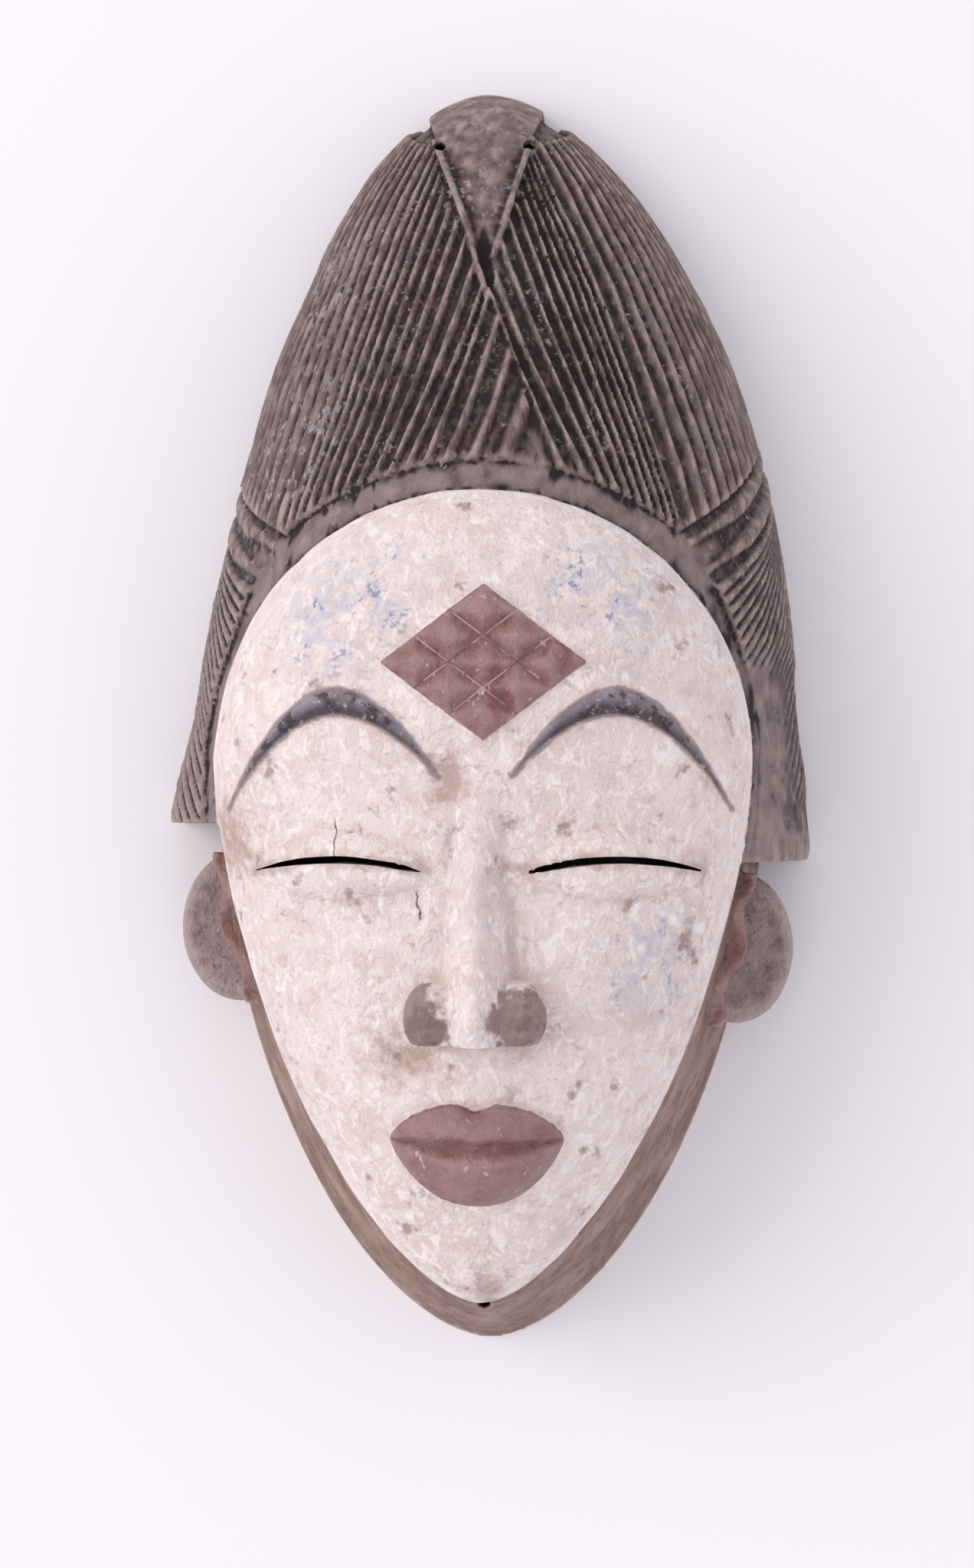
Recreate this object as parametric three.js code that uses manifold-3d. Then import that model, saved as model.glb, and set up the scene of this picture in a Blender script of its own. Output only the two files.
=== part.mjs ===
// A carved and painted wooden face mask, lying face up on its back rim. Millimetres.
// Z is up and out of the face, Y points to the crown and X to the viewer's right.
// The origin is the middle of the part's footprint, on the plane of the back rim.
import * as THREE from "three";
import { mergeVertices } from "three/addons/utils/BufferGeometryUtils.js";
import Module from "manifold-3d";

// Overall sizes
const CROWN_Y = 152.5; // top of the crest
const CHIN_RIM_Y = -153.8; // lowest point of the back rim
const COIFFURE_DEPTH = 80; // back rim to the highest point of the smooth hair dome
const BELOW_RIM = 4; // every solid reaches this far under the rim plane before the flat cut
const ABOVE_ALL = COIFFURE_DEPTH + 50; // where upright cuts end, over the highest point of the face

// Hair dome: the outline at the rim plane is a superellipse that flares out again at the flaps
const DOME_MID_Y = -22;
const DOME_HALF_WIDTH = 74;
const DOME_TOP_Y = CROWN_Y - 2;
const DOME_POWER = 1.8;
const DOME_ROUNDNESS = 2.3;
const DOME_LEAN = 3.4; // the crown of the hair leans a little to the right
const FLARE = 4.6; // how far each flap stands out past the superellipse
const FLARE_TOP_Y = 4;
const FLARE_LENGTH = 38;
const DOME_LOW_Y = -40;

// Flaps of hair behind the ears, each cut off square
const FLAP_END_Y = { left: -26, right: -35 };

// Jaw rim: the outline of the head where it meets the rim plane
const RIM_MID_Y = -20;
const RIM_HALF_WIDTH = 67.5;
const RIM_TOP_Y = CROWN_Y - 14.5;
const RIM_POWER = 1.75;

// Face: a pointed oval whose edge stands proud of the hair and of the jaw wall
const FACE_MID_Y = -10;
const FACE_HALF_WIDTH = 62.5;
const FACE_TOP_Y = 49;
const CHIN_Y = CHIN_RIM_Y + 17.8;
const FACE_TOP_POWER = 2;
const FACE_CHIN_POWER = 1.6;
const FACE_STEP = 2.6; // how far the face's edge stands above the hairline
const FACE_LIP = 1.5; // how far it overhangs the side wall
const CHIN_EDGE_Z = 56;
const FOREHEAD_Z = 92.5;
const CHEEK_Z = 84.5;
const CHIN_Z = 77;
const BROW_SLOPE = 44; // how far above the eyes the forehead reaches its full height
const FACE_ROUNDNESS = 2.6;
const FACE_EDGE_SOFTNESS = 0.55;

// Nose, mouth, eyes and brows
const NOSE_ROOT_Y = -12;
const NOSE_BASE_Y = -74;
const NOSE_ROOT_HALF = 5.5;
const NOSE_BASE_HALF = 10.5;
const NOSE_HEIGHT = 19;
const WING_X = 9.6;
const WING_RADII = [6.6, 8.2, 8];
const WING_RISE = 4;
const MOUTH_Y = -97;
const MOUTH_HALF = 19.5;
const UPPER_LIP = 10;
const LOWER_LIP = 14;
const LIP_HEIGHT = 6;
const EYE_X = 31;
const EYE_Y = -36;
const EYE_HALF = 21;
const LID_HALF = 7.8;
const LID_HEIGHT = 3.4;
const SLIT_HALF_LENGTH = 19;
const SLIT_HALF_HEIGHT = 0.8;
const EYE_ARCH = 2.6; // rise of the slit's middle above its ends
const BROW_INNER = [8, -15];
const BROW_PEAK = [31, 1.5];
const BROW_OUTER = [57, -22];
const BROW_WIDTH = 6.5;
const BROW_HEIGHT = 2.3;

// Swellings and hollows on both sides of the face's plain form
const FACE_RELIEF = [
  { height: -2.8, x: EYE_X, y: EYE_Y + 19, halfWidth: 19, halfHeight: 11 }, // eye hollows
  { height: 2.4, x: 36, y: NOSE_BASE_Y + 6, halfWidth: 18, halfHeight: 24 }, // cheeks
  { height: 3.5, x: 0, y: MOUTH_Y, halfWidth: 26, halfHeight: 24 }, // mouth
  { height: 2.5, x: 0, y: CHIN_Y + 10, halfWidth: 15, halfHeight: 9 }, // chin
  { height: -1.8, x: 0, y: CHIN_Y + 20.8, halfWidth: 16, halfHeight: 5 }, // crease over the chin
];

// Brow ornament: a lozenge of nine low pyramids
const LOZENGE_CENTRE = [2, 10];
const LOZENGE_HALF_WIDTH = 22.5;
const LOZENGE_HALF_HEIGHT = 17.1;
const LOZENGE_CELLS = 3;
const LOZENGE_STEP = 0.8;
const LOZENGE_PEAK = 2.8;

// Hair carving, in the dome's own leaning frame
const BAND_WIDTH = 7.3; // smooth hairline between the face and the carved locks
const FLAP_BAND_WIDTH = 2.6; // the same beside the flaps
const CREST_SHOULDER_Y = CROWN_Y - 18.5;
const CREST_TIP = [-1.4, CROWN_Y - 51.5];
const CREST_LEFT = [-11.8, CREST_SHOULDER_Y];
const CREST_RIGHT = [9.4, CREST_SHOULDER_Y];
const CREST_TOP_Y = CROWN_Y - 7.5; // the steps at the sides of the crest meet the rim plane here
const CREST_LIFT = 2.8;
const PARTING_TOP = [-0.4, CREST_TIP[1] - 8];
const PARTING_FOOT = [11.8, FACE_TOP_Y + BAND_WIDTH + 1.2];
const LOCK_LIFT = 0.5;
const LOCK_HEIGHT = 1.3;
const LOCK_ROOT = 3; // how deep the carved layers reach into the dome
const LOCKS = { left: 22, right: 19 };
const CLEFT_RADIUS = 2.3;
const CLEFT_TOP_Y = CREST_TIP[1] + 9;
const TIE_TURN = 0.7; // where the ties start round the hairline, in radians from the top
const TIE_TURN_PITCH = 0.11;
const TIE_OUTER_Y = { left: 62, right: 72 }; // where the ties' upper edges meet the rim plane
const TIE_PITCH = 7.2;
const TIE_WIDTH = 4.4;
const TIE_HEIGHT = 2.2;
const TIES = 2;
const STROKE_PITCH = 5;
const STROKE_LIFT = 0.4;
const STROKE_HEIGHT = 1.1;
const STROKE_SLANT = 0.3; // how far down the flap a stroke runs on its way in, as a share of the flap
const FLAP_LOW_TURN = 1.95; // where the strokes end round the hairline
const RIGHT_LOBE_TURN = 0.21;
const LEFT_LOBE_TURN = 0.17;

// Ears: thin plates with a wavy inner ridge on the head's side wall
const EAR_Y = { left: -51, right: -56 };
const EAR_X = 60;
const EAR_HALF_WIDTH = 14.2;
const EAR_HALF_HEIGHT = 18.3;
const EAR_Z = 16;
const EAR_THICKNESS = 7;
const EAR_RIDGE_RADIUS = 3;
const EAR_RIDGE_Z = 33;

// Hollow and holes
const JAW_WALL = 9;
const CROWN_WALL = 14;
const HOLLOW_DEPTH = 75;
const CROWN_HOLLOW_DEPTH = 62;
const HOLLOW_POWER = 1.9;
const HOLE_RADIUS = 1.4;
const CREST_HOLE_Y = CREST_SHOULDER_Y;
const CREST_HOLE_X = 10.4;
const CHIN_HOLE_Y = CHIN_Y - 3.2;

const SIDES = { left: -1, right: 1 };
const RIGHT_ANGLE = Math.PI / 2;

const clamp = (t) => Math.min(1, Math.max(0, t));
const smooth = (t) => clamp(t) ** 2 * (3 - 2 * clamp(t));
const mix = (a, b, t) => a + (b - a) * t;
const bump = (u, v) => Math.exp(-(u * u + v * v));

// Superellipse level: 1 on the outline, less inside
const superLevel = (u, v, power) =>
  (Math.abs(u) ** power + Math.abs(v) ** power) ** (1 / power);

// Manifold solids from three.js geometries
const wasm = await Module();
wasm.setup();

function solidOf(geometry) {
  const loose = geometry.index ? geometry.toNonIndexed() : geometry;
  const bare = new THREE.BufferGeometry();
  bare.setAttribute("position", loose.getAttribute("position"));
  const merged = mergeVertices(bare, 1e-4);
  const kept = [];
  for (let i = 0; i < merged.index.count; i += 3) {
    const [a, b, c] = [0, 1, 2].map((k) => merged.index.getX(i + k));
    if (a !== b && b !== c && c !== a) kept.push(a, b, c);
  }
  const vertProperties = new Float32Array(merged.getAttribute("position").array);
  const build = (triVerts) =>
    new wasm.Manifold(new wasm.Mesh({ numProp: 3, vertProperties, triVerts }));
  const solid = build(new Uint32Array(kept));
  return solid.volume() > 0 ? solid : build(new Uint32Array(kept).reverse());
}

// Moves every vertex of a geometry to the place that a function gives for it
function reshaped(geometry, place) {
  const position = geometry.getAttribute("position");
  for (let i = 0; i < position.count; i++)
    position.setXYZ(i, ...place(position.getX(i), position.getY(i), position.getZ(i)));
  return geometry;
}

// A slab bent over a surface: across and along run from 0 to 1, and layer is 0 below and 1 on top
function slab(columns, rows, place) {
  const block = new THREE.BoxGeometry(1, 1, 1, columns, rows, 1);
  return solidOf(reshaped(block, (x, y, z) => place(x + 0.5, y + 0.5, z > 0 ? 1 : 0)));
}

const tidy = (value) => Math.round(value * 1e5) / 1e5;

// A turned profile of [radius, station] pairs, whose vertices are then placed by turn, radius and station
function turned(profile, segments, place) {
  const points = profile.map(([radius, station]) => new THREE.Vector2(radius, station));
  const lathe = new THREE.LatheGeometry(points, segments);
  return solidOf(
    reshaped(lathe, (x, y, z) => place(Math.atan2(x, z), tidy(Math.hypot(x, z)), y)),
  );
}

// An outline drawn in plan and carried straight through in Z
function prism(outline, low, high) {
  const shape = new THREE.Shape(outline.map(([x, y]) => new THREE.Vector2(x, y)));
  const block = new THREE.ExtrudeGeometry(shape, { depth: high - low, bevelEnabled: false });
  return solidOf(block.translate(0, 0, low));
}

const union = (solids) => solids.reduce((whole, next) => whole.add(next));

// Hair dome
const flareAt = (y) => FLARE * smooth((FLARE_TOP_Y - y) / FLARE_LENGTH);
const domeShare = (y) => clamp((y - DOME_MID_Y) / (DOME_TOP_Y - DOME_MID_Y));
const leanAt = (y) => DOME_LEAN * Math.sin(Math.PI * domeShare(y));
const domeHalfWidth = (y) =>
  (DOME_HALF_WIDTH + flareAt(y)) * (1 - domeShare(y) ** DOME_POWER) ** (1 / DOME_POWER);

function domeZ(x, y) {
  const across = (x - leanAt(y)) / (DOME_HALF_WIDTH + flareAt(y));
  const level = Math.min(1, superLevel(across, domeShare(y), DOME_POWER));
  return COIFFURE_DEPTH * Math.sqrt(1 - level ** DOME_ROUNDNESS);
}

// A point of the dome by its angle from straight out of the face; past a right angle it runs straight down
function domePoint(angle, y) {
  const half = domeHalfWidth(y);
  const turn = Math.min(RIGHT_ANGLE, Math.abs(angle)) * Math.sign(angle);
  const x = leanAt(y) + half * Math.sin(turn);
  const past = Math.abs(angle) - RIGHT_ANGLE;
  return new THREE.Vector3(x, y, past > 0 ? -half * past : domeZ(x, y));
}

function domeNormal(angle, y) {
  const step = 0.01;
  const across = domePoint(angle + step, y).sub(domePoint(angle - step, y));
  const along = domePoint(angle, y + step).sub(domePoint(angle, y - step));
  return across.cross(along).normalize();
}

const liftedDomePoint = (angle, y, lift) =>
  domePoint(angle, y).addScaledVector(domeNormal(angle, y), lift);

// The dome's angle at a plan place given in its own leaning frame
const domeAngle = (x, y) => Math.asin(Math.max(-1, Math.min(1, x / domeHalfWidth(y))));

function domeSolid(lift) {
  return slab(24, 13, (u, v, layer) => {
    const y = mix(DOME_TOP_Y, DOME_LOW_Y, (1 - v) ** 1.7);
    const point = domePoint(mix(-RIGHT_ANGLE, RIGHT_ANGLE, u), y);
    const raise = lift(y);
    const share = (point.x - leanAt(y)) / (DOME_HALF_WIDTH + FLARE);
    const x = point.x + raise * share;
    const top = y + raise * domeShare(y) ** 4;
    const height = point.z + raise * (point.z / COIFFURE_DEPTH);
    return [x, top, layer ? height : -BELOW_RIM];
  });
}

// Head and face
const jawRim = (turn) =>
  outlinePoint(turn, RIM_MID_Y, RIM_HALF_WIDTH, RIM_TOP_Y, CHIN_RIM_Y, RIM_POWER, RIM_POWER);
const faceEdge = (turn) =>
  outlinePoint(
    turn,
    FACE_MID_Y,
    FACE_HALF_WIDTH,
    FACE_TOP_Y,
    CHIN_Y,
    FACE_TOP_POWER,
    FACE_CHIN_POWER,
  );

// A point on an outline made of an upper and a lower superellipse, turning from the top to the right
function outlinePoint(turn, midY, halfWidth, topY, bottomY, topPower, bottomPower) {
  const [side, rise] = [Math.sin(turn), Math.cos(turn)];
  const scale = 1 / superLevel(side, rise, rise > 0 ? topPower : bottomPower);
  const reach = rise > 0 ? topY - midY : midY - bottomY;
  return [halfWidth * side * scale, midY + reach * rise * scale];
}

function faceLevel(x, y) {
  const upper = y > FACE_MID_Y;
  const reach = upper ? FACE_TOP_Y - FACE_MID_Y : FACE_MID_Y - CHIN_Y;
  const power = upper ? FACE_TOP_POWER : FACE_CHIN_POWER;
  return superLevel(x / FACE_HALF_WIDTH, (y - FACE_MID_Y) / reach, power);
}

// Height of the face's edge: a step above the hair, then a steady rise to the chin
function edgeZ(x, y) {
  const sideZ = domeZ(Math.sign(x) * FACE_HALF_WIDTH, FACE_MID_Y) + FACE_STEP;
  if (y < FACE_MID_Y)
    return mix(sideZ, CHIN_EDGE_Z, ((FACE_MID_Y - y) / (FACE_MID_Y - CHIN_Y)) ** 1.4);
  return domeZ(x, y) + FACE_STEP;
}

// The face without its features: brow, eye hollows, cheeks, mouth mound and chin
function faceProfile(y) {
  const brow = CHEEK_Z + (FOREHEAD_Z - CHEEK_Z) * smooth((y - EYE_Y) / BROW_SLOPE);
  const belowMouth = clamp((MOUTH_Y - y) / (MOUTH_Y - CHIN_Y));
  return brow - (CHEEK_Z - CHIN_Z) * belowMouth ** 1.5;
}

function faceRelief(x, y) {
  return FACE_RELIEF.reduce((height, swell) => {
    const across = (Math.abs(x) - swell.x) / swell.halfWidth;
    return height + swell.height * bump(across, (y - swell.y) / swell.halfHeight);
  }, 0);
}

function faceZ(x, y) {
  const level = Math.min(1, faceLevel(x, y));
  const out = 1 / Math.max(level, 1e-6);
  const edge = edgeZ(x * out, FACE_MID_Y + (y - FACE_MID_Y) * out);
  const dome = (1 - level ** FACE_ROUNDNESS) ** FACE_EDGE_SOFTNESS;
  return edge + (faceProfile(y) + faceRelief(x, y) - edge) * dome;
}

function headSolid() {
  const wall = [0, 0.5, 1, 1.5, 2].map((station) => [1, station]);
  const rings = [0.97, 0.9, 0.8, 0.69, 0.58, 0.46, 0.34, 0.22, 0.1, 0];
  const face = rings.map((radius) => [radius, 2]);
  return turned([[0, -1], [1, -1], ...wall, ...face], 52, (turn, radius, station) => {
    const [rimX, rimY] = jawRim(turn);
    const [edgeX, edgeY] = faceEdge(turn);
    if (station < 0) return [rimX * radius, mix(RIM_MID_Y, rimY, radius), -BELOW_RIM];
    if (station > 1) {
      const [x, y] = [edgeX * radius, mix(FACE_MID_Y, edgeY, radius)];
      return [x, y, faceZ(x, y) - 2 * FACE_LIP * (2 - station)];
    }
    const inset = 1 - FACE_LIP / Math.hypot(edgeX, edgeY - FACE_MID_Y);
    const topX = edgeX * inset;
    const topY = mix(FACE_MID_Y, edgeY, inset);
    const topZ = edgeZ(edgeX, edgeY) - 2 * FACE_LIP;
    const inward = station ** 0.9;
    return [mix(rimX, topX, inward), mix(rimY, topY, inward), station * topZ];
  });
}

// Half width of the head's side wall at a height above the rim
function wallX(y, z) {
  const rim = RIM_HALF_WIDTH * halfShare((RIM_MID_Y - y) / (RIM_MID_Y - CHIN_RIM_Y), RIM_POWER);
  const reach = (FACE_MID_Y - y) / (FACE_MID_Y - CHIN_Y);
  const edge = FACE_HALF_WIDTH * halfShare(reach, FACE_CHIN_POWER);
  return mix(rim, edge, clamp(z / edgeZ(edge, y)));
}

const halfShare = (share, power) => (1 - Math.abs(share) ** power) ** (1 / power);

// Features of the face
function noseSolid() {
  const bridge = slab(8, 6, (u, v, layer) => {
    const down = v;
    const y = mix(NOSE_ROOT_Y, NOSE_BASE_Y, down);
    const half = mix(NOSE_ROOT_HALF, NOSE_BASE_HALF, down ** 1.7);
    const across = 2 * u - 1;
    const x = across * half;
    const tip = 1 - 0.2 * smooth((down - 0.88) / 0.12);
    const height = NOSE_HEIGHT * down ** 1.2 * tip;
    const section = (1 - Math.abs(across) ** 1.9) ** 0.95;
    return [x, y, layer ? faceZ(x, y) + height * section - 0.3 : faceZ(x, y) - 5];
  });
  const wings = Object.values(SIDES).map((side) => {
    const [radiusX, radiusY, radiusZ] = WING_RADII;
    const wing = new THREE.SphereGeometry(1, 10, 6);
    wing.scale(radiusX, radiusY, radiusZ);
    const y = NOSE_BASE_Y + WING_RADII[1] - 2;
    wing.translate(side * WING_X, y, faceZ(WING_X, y) + WING_RISE);
    return solidOf(wing);
  });
  const reach = WING_X + 2 * WING_RADII[0];
  const flatBase = prism(
    [
      [-reach, NOSE_BASE_Y],
      [reach, NOSE_BASE_Y],
      [reach, NOSE_ROOT_Y + NOSE_HEIGHT],
      [-reach, NOSE_ROOT_Y + NOSE_HEIGHT],
    ],
    CHIN_EDGE_Z,
    ABOVE_ALL,
  );
  return union([bridge, ...wings]).intersect(flatBase);
}

// Height of a lip from the mouth line, 0, to its outer edge, 1
const lipSection = (v) =>
  v < 0.35 ? mix(0.62, 1, smooth(v / 0.35)) : Math.sqrt(1 - ((v - 0.35) / 0.66) ** 2);

const mouthLine = (u) => MOUTH_Y + 1.5 * u * u;

function lipSolid(direction, height) {
  return slab(12, 3, (u, v, layer) => {
    const across = 2 * u - 1;
    const bow = direction > 0 ? 1 - 0.2 * bump(across / 0.16, 0) : 1;
    const reach = height * (1 - Math.abs(across) ** 2.2) ** 0.75 * bow;
    const x = across * MOUTH_HALF;
    const y = mouthLine(across) + direction * reach * v;
    const rise = LIP_HEIGHT * (1 - across ** 2) ** 0.5 * lipSection(v);
    return [x, y, layer ? faceZ(x, y) + rise : faceZ(x, y) - 6];
  });
}

const eyeLine = (u) => EYE_Y + EYE_ARCH * (1 - u * u);

function lidSolid(side) {
  return slab(10, 4, (u, v, layer) => {
    const [across, up] = [2 * u - 1, 2 * v - 1];
    const reach = LID_HALF * (1 - across ** 2) ** 0.8;
    const x = side * (EYE_X + across * EYE_HALF);
    const y = eyeLine(across) - 0.8 + up * reach;
    const rise = LID_HEIGHT * (1 - across ** 2) ** 0.6 * (1 - up ** 2) ** 0.6;
    return [x, y, layer ? faceZ(x, y) + rise : faceZ(x, y) - 5];
  });
}

function slitSolid(side) {
  return slab(8, 1, (u, v, layer) => {
    const across = 2 * u - 1;
    const half = SLIT_HALF_HEIGHT * (1 - across ** 4) + 0.05;
    const x = side * (EYE_X + across * SLIT_HALF_LENGTH);
    return [x, eyeLine(across) + (2 * v - 1) * half, layer ? 120 : 20];
  });
}

// Middle line of a brow from its inner end, 0, to its outer end, 1
function browLine(along) {
  const peak = (BROW_PEAK[0] - BROW_INNER[0]) / (BROW_OUTER[0] - BROW_INNER[0]);
  const x = mix(BROW_INNER[0], BROW_OUTER[0], along);
  const end = along < peak ? BROW_INNER : BROW_OUTER;
  const away = along < peak ? (peak - along) / peak : (along - peak) / (1 - peak);
  return [x, mix(BROW_PEAK[1], end[1], away ** 1.9)];
}

function browSolid(side) {
  return slab(10, 2, (u, v, layer) => {
    const across = 2 * v - 1;
    const half = (BROW_WIDTH / 2) * Math.sin(Math.PI * mix(0.03, 0.97, u)) ** 0.7;
    const [lineX, lineY] = browLine(u);
    const x = side * lineX;
    const y = lineY + across * half;
    const rise = BROW_HEIGHT * (1 - across ** 2 * 0.75) * Math.sin(Math.PI * mix(0.06, 0.94, u)) ** 0.5;
    return [x, y, layer ? faceZ(x, y) + rise : faceZ(x, y) - 4];
  });
}

function lozengeSolids() {
  const halfX = LOZENGE_HALF_WIDTH / LOZENGE_CELLS;
  const halfY = LOZENGE_HALF_HEIGHT / LOZENGE_CELLS;
  const cells = [];
  for (let row = 0; row < LOZENGE_CELLS; row++)
    for (let column = 0; column < LOZENGE_CELLS; column++) {
      const centreX = LOZENGE_CENTRE[0] + (column + row - LOZENGE_CELLS + 1) * halfX;
      const centreY = LOZENGE_CENTRE[1] + (column - row) * halfY;
      const profile = [[0, 0], [1.01, 0], [1.01, 1], [0, 2]];
      const rises = [-4, LOZENGE_STEP, LOZENGE_PEAK];
      cells.push(
        turned(profile, 4, (turn, radius, station) => {
          const x = centreX + halfX * radius * Math.sin(turn);
          const y = centreY + halfY * radius * Math.cos(turn);
          return [x, y, faceZ(x, y) + rises[Math.round(station)]];
        }),
      );
    }
  return cells;
}

// Hair carving. Each lobe's locks run straight on the unrolled dome, from a start line to an end line.
const bandEdge = (turn) => {
  const [x, y] = faceEdge(turn);
  const [nextX, nextY] = faceEdge(turn + 0.01);
  const run = Math.hypot(nextX - x, nextY - y);
  const width = mix(BAND_WIDTH, FLAP_BAND_WIDTH, smooth((Math.abs(turn) - TIE_TURN) / 0.45));
  return [x - (width * (nextY - y)) / run, y + (width * (nextX - x)) / run];
};

// A lobe's line is a list of stops, each a share along the line with a place on the unrolled dome
const planStop = (share, [x, y]) => ({ share, angle: domeAngle(x, y), y });
const angleStop = (share, angle, y) => ({ share, angle, y });

function bandStops(fromTurn, toTurn, fromShare, toShare) {
  const stops = [];
  const count = 8;
  for (let i = 0; i <= count; i++) {
    const [x, y] = bandEdge(mix(fromTurn, toTurn, i / count));
    stops.push(planStop(mix(fromShare, toShare, i / count), [x - leanAt(y), y]));
  }
  return stops;
}

function lineAt(stops, share) {
  let i = 1;
  while (i < stops.length - 1 && share > stops[i].share) i++;
  const [from, to] = [stops[i - 1], stops[i]];
  const t = clamp((share - from.share) / (to.share - from.share));
  return { angle: mix(from.angle, to.angle, t), y: mix(from.y, to.y, t) };
}

const OUTER_ANGLE = RIGHT_ANGLE + 0.06;

function lobeLines(name) {
  const tie = SIDES[name] * OUTER_ANGLE;
  const lastStop = angleStop(1, tie, TIE_OUTER_Y[name]);
  if (name === "right")
    return {
      start: [
        planStop(0, PARTING_TOP),
        planStop(0.12, CREST_TIP),
        planStop(0.5, CREST_RIGHT),
        angleStop(1, tie, CREST_TOP_Y),
      ],
      end: [...bandStops(RIGHT_LOBE_TURN, TIE_TURN, 0, 0.5), lastStop],
    };
  return {
    start: [
      planStop(0, [PARTING_FOOT[0] - 1, PARTING_FOOT[1] + 3]),
      planStop(0.22, PARTING_TOP),
      planStop(0.3, CREST_TIP),
      planStop(0.58, CREST_LEFT),
      angleStop(1, tie, CREST_TOP_Y),
    ],
    end: [...bandStops(LEFT_LOBE_TURN, -TIE_TURN, 0, 0.62), lastStop],
  };
}

function lobeSolid(name) {
  const lines = lobeLines(name);
  const columns = 2 * LOCKS[name];
  return slab(columns, 6, (u, v, layer) => {
    const from = lineAt(lines.start, u);
    const to = lineAt(lines.end, u);
    const y = mix(to.y, from.y, v);
    const angle = mix(to.angle, from.angle, v);
    const ridge = Math.round(u * columns) % 2;
    const rise = LOCK_LIFT + LOCK_HEIGHT * ridge;
    return liftedDomePoint(angle, y, layer ? rise : -LOCK_ROOT).toArray();
  });
}

function crestSolid() {
  const raised = domeSolid((y) => CREST_LIFT * smooth((y - CREST_TIP[1] + 6) / 24));
  const lean = leanAt(CREST_HOLE_Y);
  const outline = [
    [CREST_TIP[0] + leanAt(CREST_TIP[1]), CREST_TIP[1]],
    [CREST_RIGHT[0] + lean, CREST_RIGHT[1]],
    [CREST_RIGHT[0] + 5.5, CREST_TOP_Y],
    [CREST_RIGHT[0] + 5.5, CROWN_Y + 10],
    [CREST_LEFT[0] - 2.5, CROWN_Y + 10],
    [CREST_LEFT[0] - 2.5, CREST_TOP_Y],
    [CREST_LEFT[0] + lean, CREST_LEFT[1]],
  ];
  return raised.intersect(prism(outline, -BELOW_RIM, ABOVE_ALL));
}

// The dark cleft that the crest's tip plunges into between the two lobes
function cleftSolid() {
  const top = liftedDomePoint(domeAngle(...CREST_TIP), CLEFT_TOP_Y, 1.4);
  const foot = liftedDomePoint(domeAngle(...PARTING_TOP), PARTING_TOP[1] + 1, 0.8);
  const ball = new THREE.SphereGeometry(1, 8, 4);
  const length = top.distanceTo(foot) / 2 + 1;
  ball.scale(CLEFT_RADIUS, length, CLEFT_RADIUS);
  ball.applyQuaternion(
    new THREE.Quaternion().setFromUnitVectors(
      new THREE.Vector3(0, 1, 0),
      top.clone().sub(foot).normalize(),
    ),
  );
  const middle = top.clone().add(foot).multiplyScalar(0.5);
  return solidOf(ball.translate(...middle.toArray()));
}

// A tie round the hair: a rounded cord from the hairline out to the rim plane
function tieSolid(name, index) {
  const side = SIDES[name];
  const [footX, footY] = bandEdge(side * (TIE_TURN + TIE_TURN_PITCH * (index + 0.5)));
  const from = { angle: domeAngle(footX - leanAt(footY), footY), y: footY };
  const to = { angle: side * OUTER_ANGLE, y: TIE_OUTER_Y[name] - TIE_PITCH * (index + 0.5) };
  return slab(4, 5, (u, v, layer) => {
    const across = 2 * u - 1;
    const y = mix(from.y, to.y, v) + (across * TIE_WIDTH) / 2;
    const angle = mix(from.angle, to.angle, v);
    const rise = TIE_HEIGHT * (1 - 0.8 * across ** 2);
    return liftedDomePoint(angle, y, layer ? rise : -LOCK_ROOT).toArray();
  });
}

// Strokes on a flap, fanned out below the ties, from the outer edge steeply down and in to the hairline
function flapSolid(name) {
  const side = SIDES[name];
  const outerTop = TIE_OUTER_Y[name] - TIES * TIE_PITCH;
  const outerLow = FLAP_END_Y.right - 3;
  const outer = [angleStop(0, side * OUTER_ANGLE, outerTop), angleStop(1, side * OUTER_ANGLE, outerLow)];
  const flapTurn = TIE_TURN + TIES * TIE_TURN_PITCH;
  const inner = bandStops(side * flapTurn, side * FLAP_LOW_TURN, 0, 1);
  const strokes = Math.round((outerTop - outerLow) / STROKE_PITCH);
  return slab(2 * strokes, 2, (u, v, layer) => {
    const share = mix(-STROKE_SLANT, 1, u);
    const from = lineAt(inner, clamp(share + STROKE_SLANT));
    const to = lineAt(outer, clamp(share));
    const angle = mix(from.angle, to.angle, v);
    const y = mix(from.y, to.y, v);
    const ridge = Math.round(u * 2 * strokes) % 2;
    const rise = STROKE_LIFT + STROKE_HEIGHT * ridge * (1 - v ** 4);
    return liftedDomePoint(angle, y, layer ? rise : -LOCK_ROOT).toArray();
  });
}

function flapCut(name) {
  const side = SIDES[name];
  const far = DOME_HALF_WIDTH + 30;
  const outline = [
    [0, FLAP_END_Y[name] + 2],
    [side * far, FLAP_END_Y[name] - 1.5],
    [side * far, CHIN_RIM_Y],
    [0, CHIN_RIM_Y],
  ];
  return prism(outline, -BELOW_RIM - 1, ABOVE_ALL);
}

function coiffureSolid() {
  const sides = Object.keys(SIDES);
  const ties = [...Array(TIES).keys()];
  const layers = [
    domeSolid(() => 0),
    ...sides.map(lobeSolid),
    ...sides.map(flapSolid),
    ...sides.flatMap((name) => ties.map((index) => tieSolid(name, index))),
    crestSolid(),
  ];
  const trimmed = sides.reduce((whole, name) => whole.subtract(flapCut(name)), union(layers));
  return trimmed.subtract(cleftSolid());
}

// Ears
function earSolid(name) {
  const side = SIDES[name];
  const profile = [[0, -1], [0.85, -1], [1, -0.4], [1, 0.4], [0.85, 1], [0, 0.7]];
  return turned(profile, 18, (turn, radius, station) => [
    side * (EAR_X + EAR_HALF_WIDTH * radius * Math.sin(turn)),
    EAR_Y[name] + EAR_HALF_HEIGHT * radius * Math.cos(turn),
    EAR_Z + (EAR_THICKNESS / 2) * station,
  ]);
}

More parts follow.
